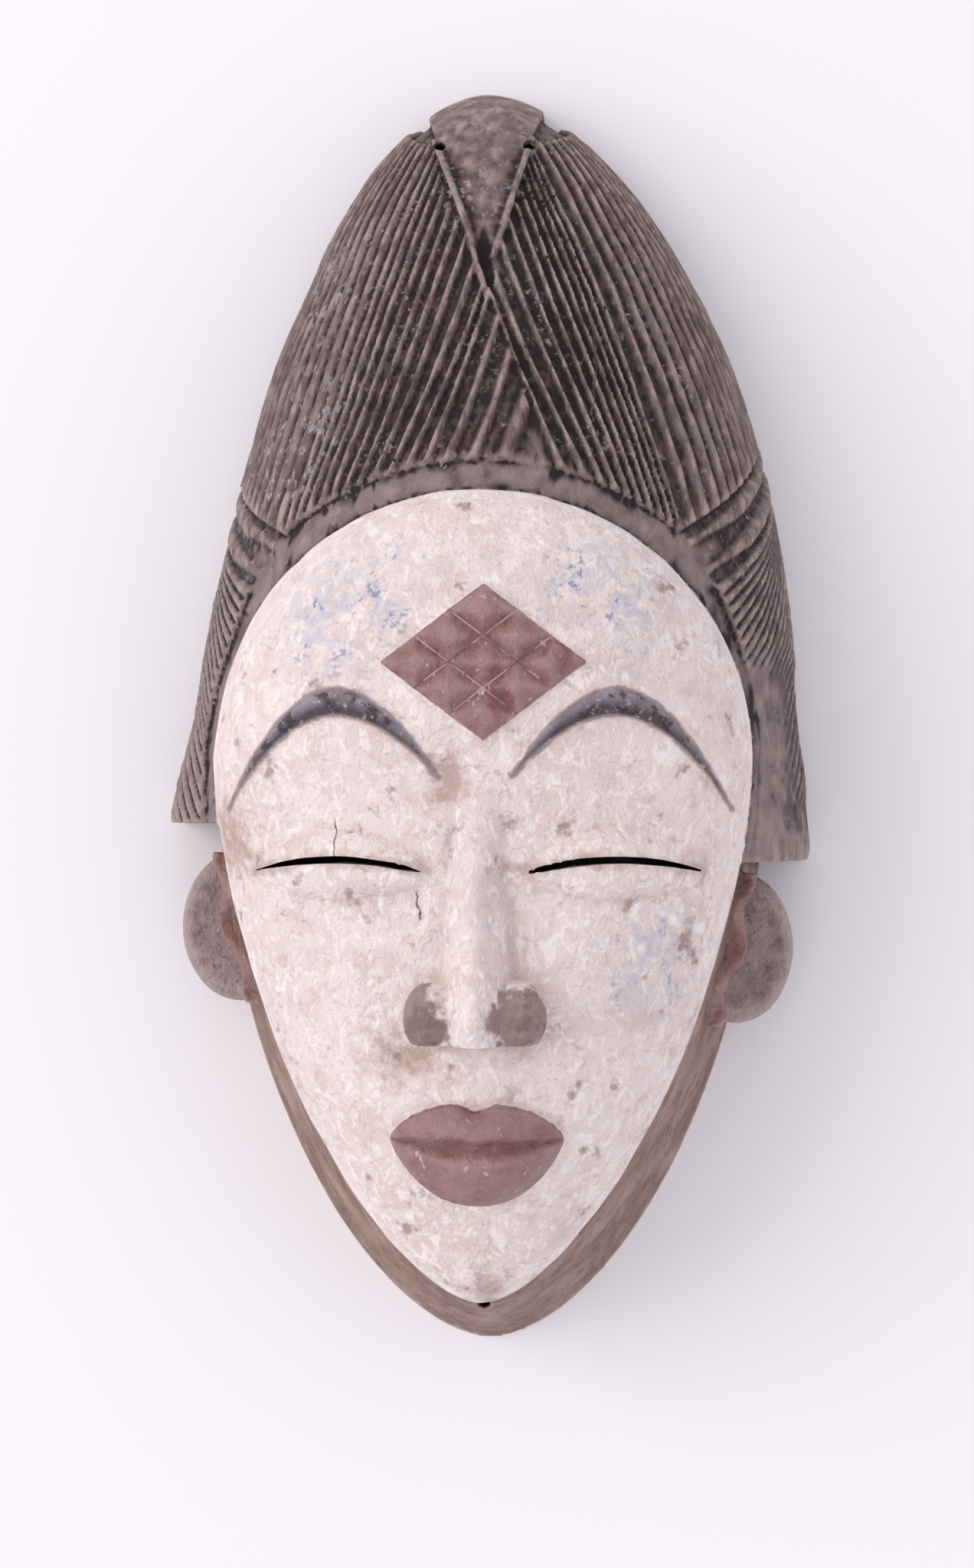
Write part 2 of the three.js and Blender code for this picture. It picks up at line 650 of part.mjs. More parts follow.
function earRidgeSolid(name) {
  const side = SIDES[name];
  const count = 6;
  const stops = [...Array(count + 1).keys()].map((i) => {
    const share = i / count;
    const y = EAR_Y[name] + EAR_HALF_HEIGHT * (1 - 2 * share);
    const wave = 2.2 * Math.cos(4 * Math.PI * share);
    const z = EAR_RIDGE_Z - 5 * share;
    return new THREE.Vector3(side * (wallX(y, z) + 0.4 * wave), y, z - wave);
  });
  const section = new THREE.Shape().absarc(0, 0, EAR_RIDGE_RADIUS, 0, 2 * Math.PI);
  return solidOf(
    new THREE.ExtrudeGeometry(section, {
      steps: 8,
      curveSegments: 3,
      bevelEnabled: false,
      extrudePath: new THREE.CatmullRomCurve3(stops),
    }),
  );
}

// Hollow back and drilled holes
function hollowBackSolid() {
  const opening = (turn) =>
    outlinePoint(
      turn,
      RIM_MID_Y,
      RIM_HALF_WIDTH - JAW_WALL,
      CROWN_Y - CROWN_WALL,
      CHIN_RIM_Y + JAW_WALL * 1.2,
      HOLLOW_POWER,
      HOLLOW_POWER,
    );
  const rings = [1, 0.95, 0.85, 0.7, 0.5, 0.25, 0].map((radius) => [radius, 0]);
  return turned([[0, -1], [1, -1], ...rings], 28, (turn, radius, station) => {
    const [x, y] = opening(turn);
    const placeY = mix(RIM_MID_Y, y, radius);
    if (station < 0) return [x * radius, placeY, -2 * BELOW_RIM];
    const crownward = smooth((placeY - FACE_MID_Y - 25) / 60);
    const depth = mix(HOLLOW_DEPTH, CROWN_HOLLOW_DEPTH, crownward);
    return [x * radius, placeY, depth * (1 - radius ** 2.6) ** 0.45];
  });
}

function holeSolid(x, y) {
  const drill = new THREE.CylinderGeometry(HOLE_RADIUS, HOLE_RADIUS, ABOVE_ALL + 2 * BELOW_RIM, 7);
  return solidOf(drill.rotateX(RIGHT_ANGLE).translate(x, y, ABOVE_ALL / 2));
}

function belowRimSolid() {
  const reach = 2 * (CROWN_Y - CHIN_RIM_Y);
  const depth = 4 * BELOW_RIM;
  return solidOf(new THREE.BoxGeometry(reach, reach, depth).translate(0, 0, -depth / 2));
}

function maskSolid() {
  const sides = Object.keys(SIDES);
  const features = Object.values(SIDES).flatMap((side) => [lidSolid(side), browSolid(side)]);
  const carved = union([
    coiffureSolid(),
    headSolid(),
    ...sides.flatMap((name) => [earSolid(name), earRidgeSolid(name)]),
    noseSolid(),
    lipSolid(1, UPPER_LIP),
    lipSolid(-1, LOWER_LIP),
    ...features,
    ...lozengeSolids(),
  ]);
  const cuts = [
    hollowBackSolid(),
    ...Object.values(SIDES).map(slitSolid),
    holeSolid(-CREST_HOLE_X, CREST_HOLE_Y),
    holeSolid(CREST_HOLE_X, CREST_HOLE_Y),
    holeSolid(0, CHIN_HOLE_Y),
    belowRimSolid(),
  ];
  return cuts.reduce((whole, cut) => whole.subtract(cut), carved);
}

function geometryOf(solid) {
  const mesh = solid.getMesh();
  const geometry = new THREE.BufferGeometry();
  geometry.setAttribute("position", new THREE.BufferAttribute(mesh.vertProperties, 3));
  geometry.setIndex(new THREE.BufferAttribute(mesh.triVerts, 1));
  geometry.computeVertexNormals();
  return geometry;
}

const wood = new THREE.MeshStandardMaterial({ color: 0x8a7a6c, roughness: 0.8, metalness: 0 });
const mask = new THREE.Mesh(geometryOf(maskSolid()), wood);
mask.name = "mask";

const part = new THREE.Group();
part.add(mask);

export default part;
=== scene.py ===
import math

import bmesh
import bpy
import numpy as np
from mathutils import Matrix, Vector


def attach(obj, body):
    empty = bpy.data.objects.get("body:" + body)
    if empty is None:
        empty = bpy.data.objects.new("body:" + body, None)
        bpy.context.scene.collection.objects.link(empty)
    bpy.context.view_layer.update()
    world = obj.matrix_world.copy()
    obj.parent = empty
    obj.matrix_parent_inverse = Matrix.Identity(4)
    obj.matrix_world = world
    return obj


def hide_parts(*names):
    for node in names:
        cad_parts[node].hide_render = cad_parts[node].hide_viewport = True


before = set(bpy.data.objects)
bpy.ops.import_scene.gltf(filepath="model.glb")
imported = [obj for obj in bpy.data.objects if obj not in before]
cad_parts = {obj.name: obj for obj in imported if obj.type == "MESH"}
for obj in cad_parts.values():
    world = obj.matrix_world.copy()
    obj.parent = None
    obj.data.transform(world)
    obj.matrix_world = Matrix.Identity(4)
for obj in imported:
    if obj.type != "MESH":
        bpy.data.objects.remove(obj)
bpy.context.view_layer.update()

# The mask lies face up on its back rim. Shapes are worked out in millimetres and then set in metres.
MM = 0.001

# Overall sizes
CROWN_Y = 152.5
CHIN_RIM_Y = -153.8
COIFFURE_DEPTH = 80
BELOW_RIM = 4
ABOVE_ALL = COIFFURE_DEPTH + 50

# Hair dome
DOME_MID_Y = -22
DOME_HALF_WIDTH = 74
DOME_TOP_Y = CROWN_Y - 2
DOME_POWER = 1.8
DOME_ROUNDNESS = 2.3
DOME_LEAN = 3.4
FLARE = 4.6
FLARE_TOP_Y = 4
FLARE_LENGTH = 38
DOME_LOW_Y = -40
FLAP_END_Y = {"left": -26, "right": -35}
FLAP_CORNER = 2.2

# Jaw rim and face outline
RIM_MID_Y = -20
RIM_HALF_WIDTH = 67.5
RIM_TOP_Y = CROWN_Y - 14.5
RIM_POWER = 1.75
FACE_MID_Y = -10
FACE_HALF_WIDTH = 62.5
FACE_TOP_Y = 49
CHIN_Y = CHIN_RIM_Y + 17.8
FACE_TOP_POWER = 2
FACE_CHIN_POWER = 1.6
FACE_STEP = 2.6
FACE_LIP = 1.5
CHIN_EDGE_Z = 56
FOREHEAD_Z = 92.5
CHEEK_Z = 84.5
CHIN_Z = 77
BROW_SLOPE = 44
FACE_ROUNDNESS = 2.6
FACE_EDGE_SOFTNESS = 0.55

# Nose, mouth, eyes and brows
NOSE_ROOT_Y = -12
NOSE_BASE_Y = -74
NOSE_ROOT_HALF = 5.5
NOSE_BASE_HALF = 10.5
NOSE_HEIGHT = 19
WING_X = 9.6
WING_RADII = (6.6, 8.2, 8)
WING_Y = NOSE_BASE_Y + WING_RADII[1] - 2
WING_RISE = 4
MOUTH_Y = -97
MOUTH_HALF = 19.5
UPPER_LIP = 10
LOWER_LIP = 14
LIP_HEIGHT = 6
EYE_X = 31
EYE_Y = -36
EYE_HALF = 21
LID_HALF = 7.8
LID_HEIGHT = 3.4
SLIT_HALF_LENGTH = 19
SLIT_HALF_HEIGHT = 0.75
SLIT_FROM_Z = 20
SLIT_TO_Z = 120
EYE_ARCH = 2.6
BROW_INNER = (8, -15)
BROW_PEAK = (31, 1.5)
BROW_OUTER = (57, -22)
BROW_SPAN = BROW_OUTER[0] - BROW_INNER[0]
BROW_WIDTH = 6.5
BROW_HEIGHT = 2.3

# Swellings and hollows on both sides of the face: height, x, y, half width, half height
FACE_RELIEF = [
    (-2.8, EYE_X, EYE_Y + 19, 19, 11),
    (2.4, 36, NOSE_BASE_Y + 6, 18, 24),
    (3.5, 0, MOUTH_Y, 26, 24),
    (2.5, 0, CHIN_Y + 10, 15, 9),
    (-1.8, 0, CHIN_Y + 20.8, 16, 5),
]

# Brow ornament
LOZENGE_CENTRE = (2, 10)
LOZENGE_HALF_WIDTH = 22.5
LOZENGE_HALF_HEIGHT = 17.1
LOZENGE_INNER_RADIUS = 13.6
LOZENGE_CELLS = 3
LOZENGE_STEP = 0.9
LOZENGE_PEAK = 2.7

# Hair carving, in the dome's own leaning frame
BAND_WIDTH = 7.3
FLAP_BAND_WIDTH = 2.6
CREST_SHOULDER_Y = CROWN_Y - 18.5
CREST_TIP = (-1.4, CROWN_Y - 51.5)
CREST_LEFT = (-11.8, CREST_SHOULDER_Y)
CREST_RIGHT = (9.4, CREST_SHOULDER_Y)
CREST_TOP_Y = CROWN_Y - 7.5
CREST_LIFT = 2.8
PARTING_TOP = (-0.4, CREST_TIP[1] - 8)
PARTING_FOOT = (11.8, FACE_TOP_Y + BAND_WIDTH + 1.2)
RAIL_WIDTH = 1.5
RAIL_HEIGHT = 0.9
RAILS = {
    "left": [CREST_LEFT, (-4.6, CREST_TIP[1] + 8), (-3.6, CREST_TIP[1] + 2), (-0.9, PARTING_TOP[1])],
    "right": [CREST_RIGHT, (2.2, CREST_TIP[1] + 8), (0.3, CREST_TIP[1] + 3)],
}
CLEFT_TOP = (-1.7, CREST_TIP[1] + 8)
CLEFT_FOOT = (-0.8, CREST_TIP[1] - 5)
CLEFT_RADIUS = 2
LOCK_LIFT = 0.2
LOCK_HEIGHT = 1.9
LOCK_ROOT = 3
LOCK_WANDER = 0.1
LOCKS = {"left": 28, "right": 26}
LOCK_CROWDING = 1.45
TIE_TURN = 0.7
TIE_TURN_PITCH = 0.11
TIE_OUTER_Y = {"left": 62, "right": 72}
TIE_PITCH = 7.2
TIE_WIDTH = 5.4
TIE_HEIGHT = {"left": 1.3, "right": 2}
TIES = 2
STROKE_PITCH = 3
STROKE_LIFT = 0.2
STROKE_HEIGHT = 1.4
STROKE_SLANT = 0.3
FLAP_LOW_TURN = 1.95
RIGHT_LOBE_TURN = 0.21
LEFT_LOBE_TURN = 0.17
OUTER_ANGLE = math.pi / 2 + 0.06

# Ears
EAR_Y = {"left": -51, "right": -56}
EAR_X = 60
EAR_HALF_WIDTH = 14.2
EAR_HALF_HEIGHT = 18.3
EAR_Z = 16
EAR_THICKNESS = 7
EAR_RIDGE_RADIUS = 3
EAR_RIDGE_Z = 33
EAR_RIDGE_WAVE = 2.2
EAR_PAINT_TOP_Z = 26
EAR_PAINT_INNER_X = 50

# Hollow and holes
JAW_WALL = 9
CROWN_WALL = 14
HOLLOW_DEPTH = 75
CROWN_HOLLOW_DEPTH = 62
HOLLOW_HALF_WIDTH = RIM_HALF_WIDTH - JAW_WALL
HOLLOW_TOP_Y = CROWN_Y - CROWN_WALL
HOLLOW_LOW_Y = CHIN_RIM_Y + JAW_WALL * 1.2
HOLLOW_POWER = 1.9
HOLLOW_ROUNDNESS = 2.6
HOLLOW_STEEPNESS = 0.45
HOLLOW_WALL_SHARE = 0.8
SKIN = 3.2
WALL_SKIN = 0.8
RIM_SKIN = 0.7
HOLE_RADIUS = 1.4
HOLES = {
    "crest hole left": (-10.4, CREST_SHOULDER_Y),
    "crest hole right": (10.4, CREST_SHOULDER_Y),
    "chin hole": (0, CHIN_Y - 3.2),
}

# Places of age, and of painted shade in the hair's cleft: x, y and radius
COOL_SPOTS = [(-20, 27, 12), (-34, 18, 12), (25, 30, 11), (36, 22, 9), (37, -56, 13)]
WEAR_SPOTS = [(-5, -16, 7), (-58, -30, 11), (57, -74, 11), (-50, -85, 11), (2, -132, 6), (-17, -76, 8)]
BARE_SPOTS = [(-WING_X - 2, WING_Y - 1, 7.6), (WING_X + 2, WING_Y - 1, 7.6)]
SCUFF_SPOTS = [(-3, 122, 10), (-34, 70, 10), (-52, 62, 12), (-40, 100, 14), (-60, 40, 12), (-44, 58, 8)]
SOFT_SPOTS = [(-WING_X - 2, WING_Y + 1, 9), (WING_X + 2, WING_Y + 1, 9), (0, NOSE_ROOT_Y - 4, 9)]
# Painted shade: spots along the cleft under the crest's tip, laid near black in the hair's finish.
CLEFT_SHADE_SPOTS = [(0.5, CREST_TIP[1] + 6, 2.4), (0.8, CREST_TIP[1] + 2, 2.2), (1.4, CREST_TIP[1] - 3, 2.2)]

# Drying cracks that follow the grain: x and the two ends in y
CRACKS = [(-31.4, -34, -24), (-12.4, -47, -40), (-48, 30, 62), (26, 62, 96), (52, -118, -96)]
CRACK_WIDTH = 0.22

# The finest grain that any pattern shows, and how far each pattern is moved on from the last
FINEST = 0.35
PATTERN_SHIFT = 37

# Mesh density
VOXEL = 0.55
MOST_TRIANGLES = 190000
SHARP_ANGLE = math.radians(55)

# Camera and light
CAMERA_TARGET = Vector((0, -16.6, 20)) * MM
CAMERA_DISTANCE = 730 * MM
CAMERA_YAW = math.radians(2.3)
LENS = 69.4
SENSOR_WIDTH = 36
WINDOW_PLACE = Vector((-1.75, 0.5, 1.6))
WINDOW_SIZE = 2
WINDOW_POWER = 23
ROOM_LIGHT = 0.95
FLOOR_SIZE = 8

SIDES = {"left": -1, "right": 1}


def clamp(t):
    return np.clip(t, 0, 1)


def smooth(t):
    return clamp(t) ** 2 * (3 - 2 * clamp(t))


def mix(a, b, t):
    return a + (b - a) * t


def bump(u, v):
    return np.exp(-(u * u + v * v))


def super_level(u, v, power):
    """1 on a superellipse's outline and less inside it."""
    return (np.abs(u) ** power + np.abs(v) ** power) ** (1 / power)


def noise(points, size, seed):
    """Smooth noise from -1 to 1 on a lattice whose cells measure size."""
    place = points / size + seed * 17.3
    cell = np.floor(place).astype(np.int64)
    part = smooth(place - cell)
    total = np.zeros(len(points))
    for corner in np.ndindex(2, 2, 2):
        x, y, z = (cell + corner).T
        mixed = (x * 73856093) ^ (y * 19349663) ^ (z * 83492791) ^ (seed * 2654435)
        mixed = (mixed ^ (mixed >> 13)) * 1274126177
        value = (mixed & 0xFFFF) / 32767.5 - 1
        weight = np.prod(np.where(corner, part, 1 - part), axis=1)
        total += value * weight
    return total


# Surfaces, each a function of arrays of places

def flare_at(y):
    return FLARE * smooth((FLARE_TOP_Y - y) / FLARE_LENGTH)


def dome_share(y):
    return clamp((y - DOME_MID_Y) / (DOME_TOP_Y - DOME_MID_Y))


def lean_at(y):
    return DOME_LEAN * np.sin(np.pi * dome_share(y))


def dome_half_width(y):
    return (DOME_HALF_WIDTH + flare_at(y)) * (1 - dome_share(y) ** DOME_POWER) ** (1 / DOME_POWER)


def dome_z(x, y):
    across = (x - lean_at(y)) / (DOME_HALF_WIDTH + flare_at(y))
    level = np.minimum(1, super_level(across, dome_share(y), DOME_POWER))
    return COIFFURE_DEPTH * np.sqrt(1 - level ** DOME_ROUNDNESS)


def dome_point(angle, y):
    """A point of the hair dome by its angle from straight out of the face."""
    half = dome_half_width(y)
    x = lean_at(y) + half * np.sin(np.clip(angle, -math.pi / 2, math.pi / 2))
    past = np.abs(angle) - math.pi / 2
    z = np.where(past > 0, -half * past, dome_z(x, y))
    return np.stack([x, y, z], axis=-1)


def lifted_dome_point(angle, y, lift):
    step = 0.01
    across = dome_point(angle + step, y) - dome_point(angle - step, y)
    along = dome_point(angle, y + step) - dome_point(angle, y - step)
    normal = np.cross(across, along)
    normal /= np.linalg.norm(normal, axis=-1, keepdims=True)
    return dome_point(angle, y) + normal * lift[..., None]


def dome_angle(x, y):
    return np.arcsin(np.clip(x / dome_half_width(y), -1, 1))


def outline_point(turn, mid_y, half_width, top_y, low_y, top_power, low_power):
    side, rise = np.sin(turn), np.cos(turn)
    upper = super_level(side, rise, top_power)
    lower = super_level(side, rise, low_power)
    scale = 1 / np.where(rise > 0, upper, lower)
    reach = np.where(rise > 0, top_y - mid_y, mid_y - low_y)
    return half_width * side * scale, mid_y + reach * rise * scale


def jaw_rim(turn):
    return outline_point(
        turn, RIM_MID_Y, RIM_HALF_WIDTH, RIM_TOP_Y, CHIN_RIM_Y, RIM_POWER, RIM_POWER
    )


def face_edge(turn):
    return outline_point(
        turn, FACE_MID_Y, FACE_HALF_WIDTH, FACE_TOP_Y, CHIN_Y, FACE_TOP_POWER, FACE_CHIN_POWER
    )


def face_level(x, y):
    across = x / FACE_HALF_WIDTH
    upper = super_level(across, (y - FACE_MID_Y) / (FACE_TOP_Y - FACE_MID_Y), FACE_TOP_POWER)
    lower = super_level(across, (y - FACE_MID_Y) / (FACE_MID_Y - CHIN_Y), FACE_CHIN_POWER)
    return np.where(y > FACE_MID_Y, upper, lower)


def edge_z(x, y):
    side_z = dome_z(np.sign(x) * FACE_HALF_WIDTH, FACE_MID_Y) + FACE_STEP
    below = mix(side_z, CHIN_EDGE_Z, clamp((FACE_MID_Y - y) / (FACE_MID_Y - CHIN_Y)) ** 1.4)
    return np.where(y < FACE_MID_Y, below, dome_z(x, y) + FACE_STEP)


def face_profile(y):
    brow = CHEEK_Z + (FOREHEAD_Z - CHEEK_Z) * smooth((y - EYE_Y) / BROW_SLOPE)
    below_mouth = clamp((MOUTH_Y - y) / (MOUTH_Y - CHIN_Y))
    return brow - (CHEEK_Z - CHIN_Z) * below_mouth ** 1.5


def face_relief(x, y):
    return sum(
        height * bump((np.abs(x) - at_x) / half_width, (y - at_y) / half_height)
        for height, at_x, at_y, half_width, half_height in FACE_RELIEF
    )


def face_z(x, y):
    level = np.clip(face_level(x, y), 1e-6, 1)
    edge = edge_z(x / level, FACE_MID_Y + (y - FACE_MID_Y) / level)
    dome = (1 - level ** FACE_ROUNDNESS) ** FACE_EDGE_SOFTNESS
    return edge + (face_profile(y) + face_relief(x, y) - edge) * dome


def half_share(share, power):
    return (1 - np.minimum(1, np.abs(share)) ** power) ** (1 / power)


def wall_x(y, z):
    """Half width of the head's side wall at a height above the rim."""
    rim = RIM_HALF_WIDTH * half_share((RIM_MID_Y - y) / (RIM_MID_Y - CHIN_RIM_Y), RIM_POWER)
    edge = FACE_HALF_WIDTH * half_share((FACE_MID_Y - y) / (FACE_MID_Y - CHIN_Y), FACE_CHIN_POWER)
    return mix(rim, edge, clamp(z / edge_z(edge, y)))


def with_height(x, y, z):
    return np.stack([x, y, z + 0 * x], axis=-1)


def lifted_face_point(x, y, lift):
    return with_height(x, y, face_z(x, y) + lift)


def by_side(x, values):
    return np.where(x < 0, values["left"], values["right"])


# Closed solids

def placed(bm, place):
    """Moves every vertex by a function of arrays, closes the seams and turns the faces out."""
    points = np.array([vert.co for vert in bm.verts])
    for vert, point in zip(bm.verts, place(points)):
        vert.co = point
    bmesh.ops.remove_doubles(bm, verts=bm.verts, dist=1e-4)
    bmesh.ops.dissolve_degenerate(bm, dist=1e-5, edges=bm.edges)
    bmesh.ops.recalc_face_normals(bm, faces=bm.faces)
    return bm


def solid(name, bm):
    bmesh.ops.triangulate(bm, faces=bm.faces)
    mesh = bpy.data.meshes.new(name)
    bm.to_mesh(mesh)
    bm.free()
    made = bpy.data.objects.new(name, mesh)
    bpy.context.scene.collection.objects.link(made)
    return made


def extruded(bm, faces, rise):
    """Copies faces some way along Z and closes the sides between the two."""
    copied = bmesh.ops.extrude_face_region(bm, geom=faces, use_keep_orig=True)
    moved = [item for item in copied["geom"] if isinstance(item, bmesh.types.BMVert)]
    bmesh.ops.translate(bm, verts=moved, vec=(0, 0, rise))


def slab(name, columns, rows, place):
    """A slab bent over a surface: u and v run from 0 to 1, and upper tells its two layers apart."""
    bm = bmesh.new()
    bmesh.ops.create_grid(bm, x_segments=columns, y_segments=rows, size=0.5)
    extruded(bm, bm.faces[:], -1)
    return solid(name, placed(bm, lambda p: place(p[:, 0] + 0.5, p[:, 1] + 0.5, p[:, 2] > -0.5)))


def relief(name, columns, rows, shape, lifted_point, root):
    """A slab rooted in a surface: the shape gives each place on it and how high it rises there."""

    def place(u, v, upper):
        at, y, rise = shape(u, v)
        return lifted_point(at, y, np.where(upper, rise, -root))

    return slab(name, columns, rows, place)


def turned(name, profile, segments, place):
    """A profile of radius and station pairs spun about Z, then placed by turn, radius and station."""
    bm = bmesh.new()
    line = [bm.verts.new((0, radius, station)) for radius, station in profile]
    edges = [bm.edges.new(pair) for pair in zip(line, line[1:])]
    about_z = {"cent": (0, 0, 0), "axis": (0, 0, 1), "dvec": (0, 0, 0), "angle": 2 * math.pi}
    bmesh.ops.spin(bm, geom=line + edges, steps=segments, use_merge=True, **about_z)
    bmesh.ops.remove_doubles(bm, verts=bm.verts, dist=1e-5)

    def spread(points):
        turn = np.arctan2(points[:, 0], points[:, 1])
        radius = np.round(np.hypot(points[:, 0], points[:, 1]), 5)
        return place(turn, radius, points[:, 2])

    return solid(name, placed(bm, spread))


def prism(name, outline, low, high):
    bm = bmesh.new()
    extruded(bm, [bm.faces.new([bm.verts.new((x, y, low)) for x, y in outline])], high - low)
    bmesh.ops.recalc_face_normals(bm, faces=bm.faces)
    return solid(name, bm)


def ball(name, radii, middle, turn=None):
    bm = bmesh.new()
    bmesh.ops.create_icosphere(bm, subdivisions=4, radius=1)
    bmesh.ops.scale(bm, verts=bm.verts, vec=radii)
    if turn:
        bmesh.ops.rotate(bm, verts=bm.verts, matrix=turn)
    bmesh.ops.translate(bm, verts=bm.verts, vec=middle)
    return solid(name, bm)


def combined(whole, others, operation="UNION"):
    """Joins solids to the first one, or cuts them out of it, and keeps only the result."""
    for other in others:
        step = whole.modifiers.new(other.name, "BOOLEAN")
        step.operation = operation
        step.solver = "MANIFOLD"
        step.object = other
    settle(whole)
    for other in others:
        bpy.data.objects.remove(other)
    return whole


def settle(piece):
    """Makes the modifiers' result the piece's own mesh."""
    graph = bpy.context.evaluated_depsgraph_get()
    mesh = bpy.data.meshes.new_from_object(piece.evaluated_get(graph))
    piece.modifiers.clear()
    piece.data = mesh


# Coiffure

def dome_solid(name, lift):
    def place(u, v, upper):
        y = mix(DOME_TOP_Y, DOME_LOW_Y, (1 - v) ** 1.7)
        x, _, z = dome_point(mix(-math.pi / 2, math.pi / 2, u), y).T
        raise_by = lift(y)
        x = x + raise_by * (x - lean_at(y)) / (DOME_HALF_WIDTH + FLARE)
        top = y + raise_by * dome_share(y) ** 4
        height = z + raise_by * (z / COIFFURE_DEPTH)
        return with_height(x, top, np.where(upper, height, -BELOW_RIM))

    return slab(name, 96, 64, place)


def band_edge(turn):
    x, y = face_edge(turn)
    next_x, next_y = face_edge(turn + 0.01)
    run = np.hypot(next_x - x, next_y - y)
    width = mix(BAND_WIDTH, FLAP_BAND_WIDTH, smooth((np.abs(turn) - TIE_TURN) / 0.45))
    return x - width * (next_y - y) / run, y + width * (next_x - x) / run


# A lobe's line is a list of stops: a share along the line, then a place on the unrolled dome

def plan_stop(share, place):
    x, y = place
    return share, float(dome_angle(x, y)), y


def band_stops(from_turn, to_turn, to_share):
    stops = []
    for step in np.linspace(0, 1, 17):
        x, y = band_edge(mix(from_turn, to_turn, step))
        stops.append(plan_stop(to_share * step, (x - lean_at(y), y)))
    return stops


def line_at(stops, share):
    shares, angles, heights = np.array(stops).T
    return np.interp(share, shares, angles), np.interp(share, shares, heights)


def lobe_lines(name):
    tie = SIDES[name] * OUTER_ANGLE
    if name == "right":
        start = [plan_stop(0, PARTING_TOP), plan_stop(0.12, CREST_TIP), plan_stop(0.5, CREST_RIGHT)]
        end = band_stops(RIGHT_LOBE_TURN, TIE_TURN, 0.5)
    else:
        foot = (PARTING_FOOT[0] - 1, PARTING_FOOT[1] + 3)
        start = [plan_stop(0, foot), plan_stop(0.22, PARTING_TOP), plan_stop(0.3, CREST_TIP)]
        start.append(plan_stop(0.58, CREST_LEFT))
        end = band_stops(LEFT_LOBE_TURN, -TIE_TURN, 0.62)
    return start + [(1, tie, CREST_TOP_Y)], end + [(1, tie, TIE_OUTER_Y[name])]


def lock_section(share, locks, roundness):
    """Height of a lock across its width: a thin blade between flat grooves, or a round cord."""
    away = np.abs(2 * ((share * locks) % 1) - 1)
    blade = clamp(1.15 - away / 0.42) ** 0.8
    cord = (1 - away**2.6) ** 0.9
    return mix(np.minimum(1, blade), cord, roundness)


def lobe_solid(name):
    start, end = lobe_lines(name)
    locks = LOCKS[name]

    def shape(u, v):
        from_angle, from_y = line_at(start, u)
        to_angle, to_y = line_at(end, u)
        angle = mix(to_angle, from_angle, v)
        y = mix(to_y, from_y, v)
        length = np.hypot(to_y - from_y, (to_angle - from_angle) * DOME_HALF_WIDTH)
        along = np.stack([u * locks * 0.7, v * length / 13, 0 * u], axis=-1)
        wander = LOCK_WANDER * noise(along, 1, 3 + locks) / locks
        share = clamp(u + wander * smooth(u / 0.05) * smooth((1 - u) / 0.05))
        worn_off = clamp(spots(dome_point(angle, y)[:, 0], y, SCUFF_SPOTS))
        kept = (1 - 0.45 * worn_off) * (1 - 0.25 * clamp(noise(along, 0.8, 5)))
        section = lock_section(share**LOCK_CROWDING, locks, smooth((u - 0.42) / 0.25))
        return angle, y, LOCK_LIFT + LOCK_HEIGHT * kept * section

    return relief(f"lobe {name}", 14 * locks, 70, shape, lifted_dome_point, LOCK_ROOT)


def crest_lift(y):
    return CREST_LIFT * smooth((y - CREST_TIP[1] + 6) / 24)


def crest_solid():
    lean = float(lean_at(CREST_SHOULDER_Y))
    outline = [
        (CREST_TIP[0] + float(lean_at(CREST_TIP[1])), CREST_TIP[1]),
        (CREST_RIGHT[0] + lean, CREST_RIGHT[1]),
        (CREST_RIGHT[0] + 4, CREST_TOP_Y),
        (CREST_RIGHT[0] + 4, CROWN_Y + 10),
        (CREST_LEFT[0] - 2.5, CROWN_Y + 10),
        (CREST_LEFT[0] - 2.5, CREST_TOP_Y),
        (CREST_LEFT[0] + lean, CREST_LEFT[1]),
    ]
    raised = dome_solid("crest", crest_lift)
    return combined(raised, [prism("crest outline", outline, -BELOW_RIM, ABOVE_ALL)], "INTERSECT")


def cleft_solid():
    """The cleft that the crest's tip plunges into between the two lobes; its dark colour is painted shade.
    """
    ends = []
    for (x, y), lift in ((CLEFT_TOP, 1.6), (CLEFT_FOOT, 0.8)):
        y = np.array([y])
        ends.append(Vector(lifted_dome_point(dome_angle(x, y), y, np.array([lift]))[0]))
    top, foot = ends
    length = (top - foot).length / 2 + 2
    turn = Vector((0, 1, 0)).rotation_difference(top - foot).to_matrix()
    return ball("cleft", (CLEFT_RADIUS, length, CLEFT_RADIUS), (top + foot) / 2, turn)


def rail_solid(name):
    """A thin raised rail along one side of the crest, down to its tip."""
    stops = np.array(RAILS[name][::-1])

    def shape(u, v):
        across = 2 * u - 1
        y = mix(stops[0, 1], stops[-1, 1], v)
        x = np.interp(y, stops[:, 1], stops[:, 0]) + across * RAIL_WIDTH / 2
        lift = np.maximum(crest_lift(y), 1.2) + RAIL_HEIGHT * (1 - 0.7 * across**2) * smooth(v / 0.1)
        return dome_angle(x, y), y, lift

    return relief(f"rail {name}", 8, 60, shape, lifted_dome_point, LOCK_ROOT)


def tie_solid(name, index):
    """A rounded cord from a thin end at the hairline up and out to the rim plane."""
    side = SIDES[name]
    foot_x, foot_y = band_edge(side * (TIE_TURN + TIE_TURN_PITCH * (index + 0.5)))
    foot_angle = dome_angle(foot_x - lean_at(foot_y), foot_y)
    outer_y = TIE_OUTER_Y[name] - TIE_PITCH * (index + 0.5)

    def shape(u, v):
        across = 2 * u - 1
        taper = mix(0.3, 1, smooth(v / 0.4))
        y = mix(foot_y, outer_y, v) + across * taper * TIE_WIDTH / 2
        angle = mix(foot_angle, side * OUTER_ANGLE, v)
        return angle, y, TIE_HEIGHT[name] * (1 - 0.85 * np.abs(across) ** 2.4) * taper

    return relief(f"tie {name} {index}", 14, 30, shape, lifted_dome_point, LOCK_ROOT)


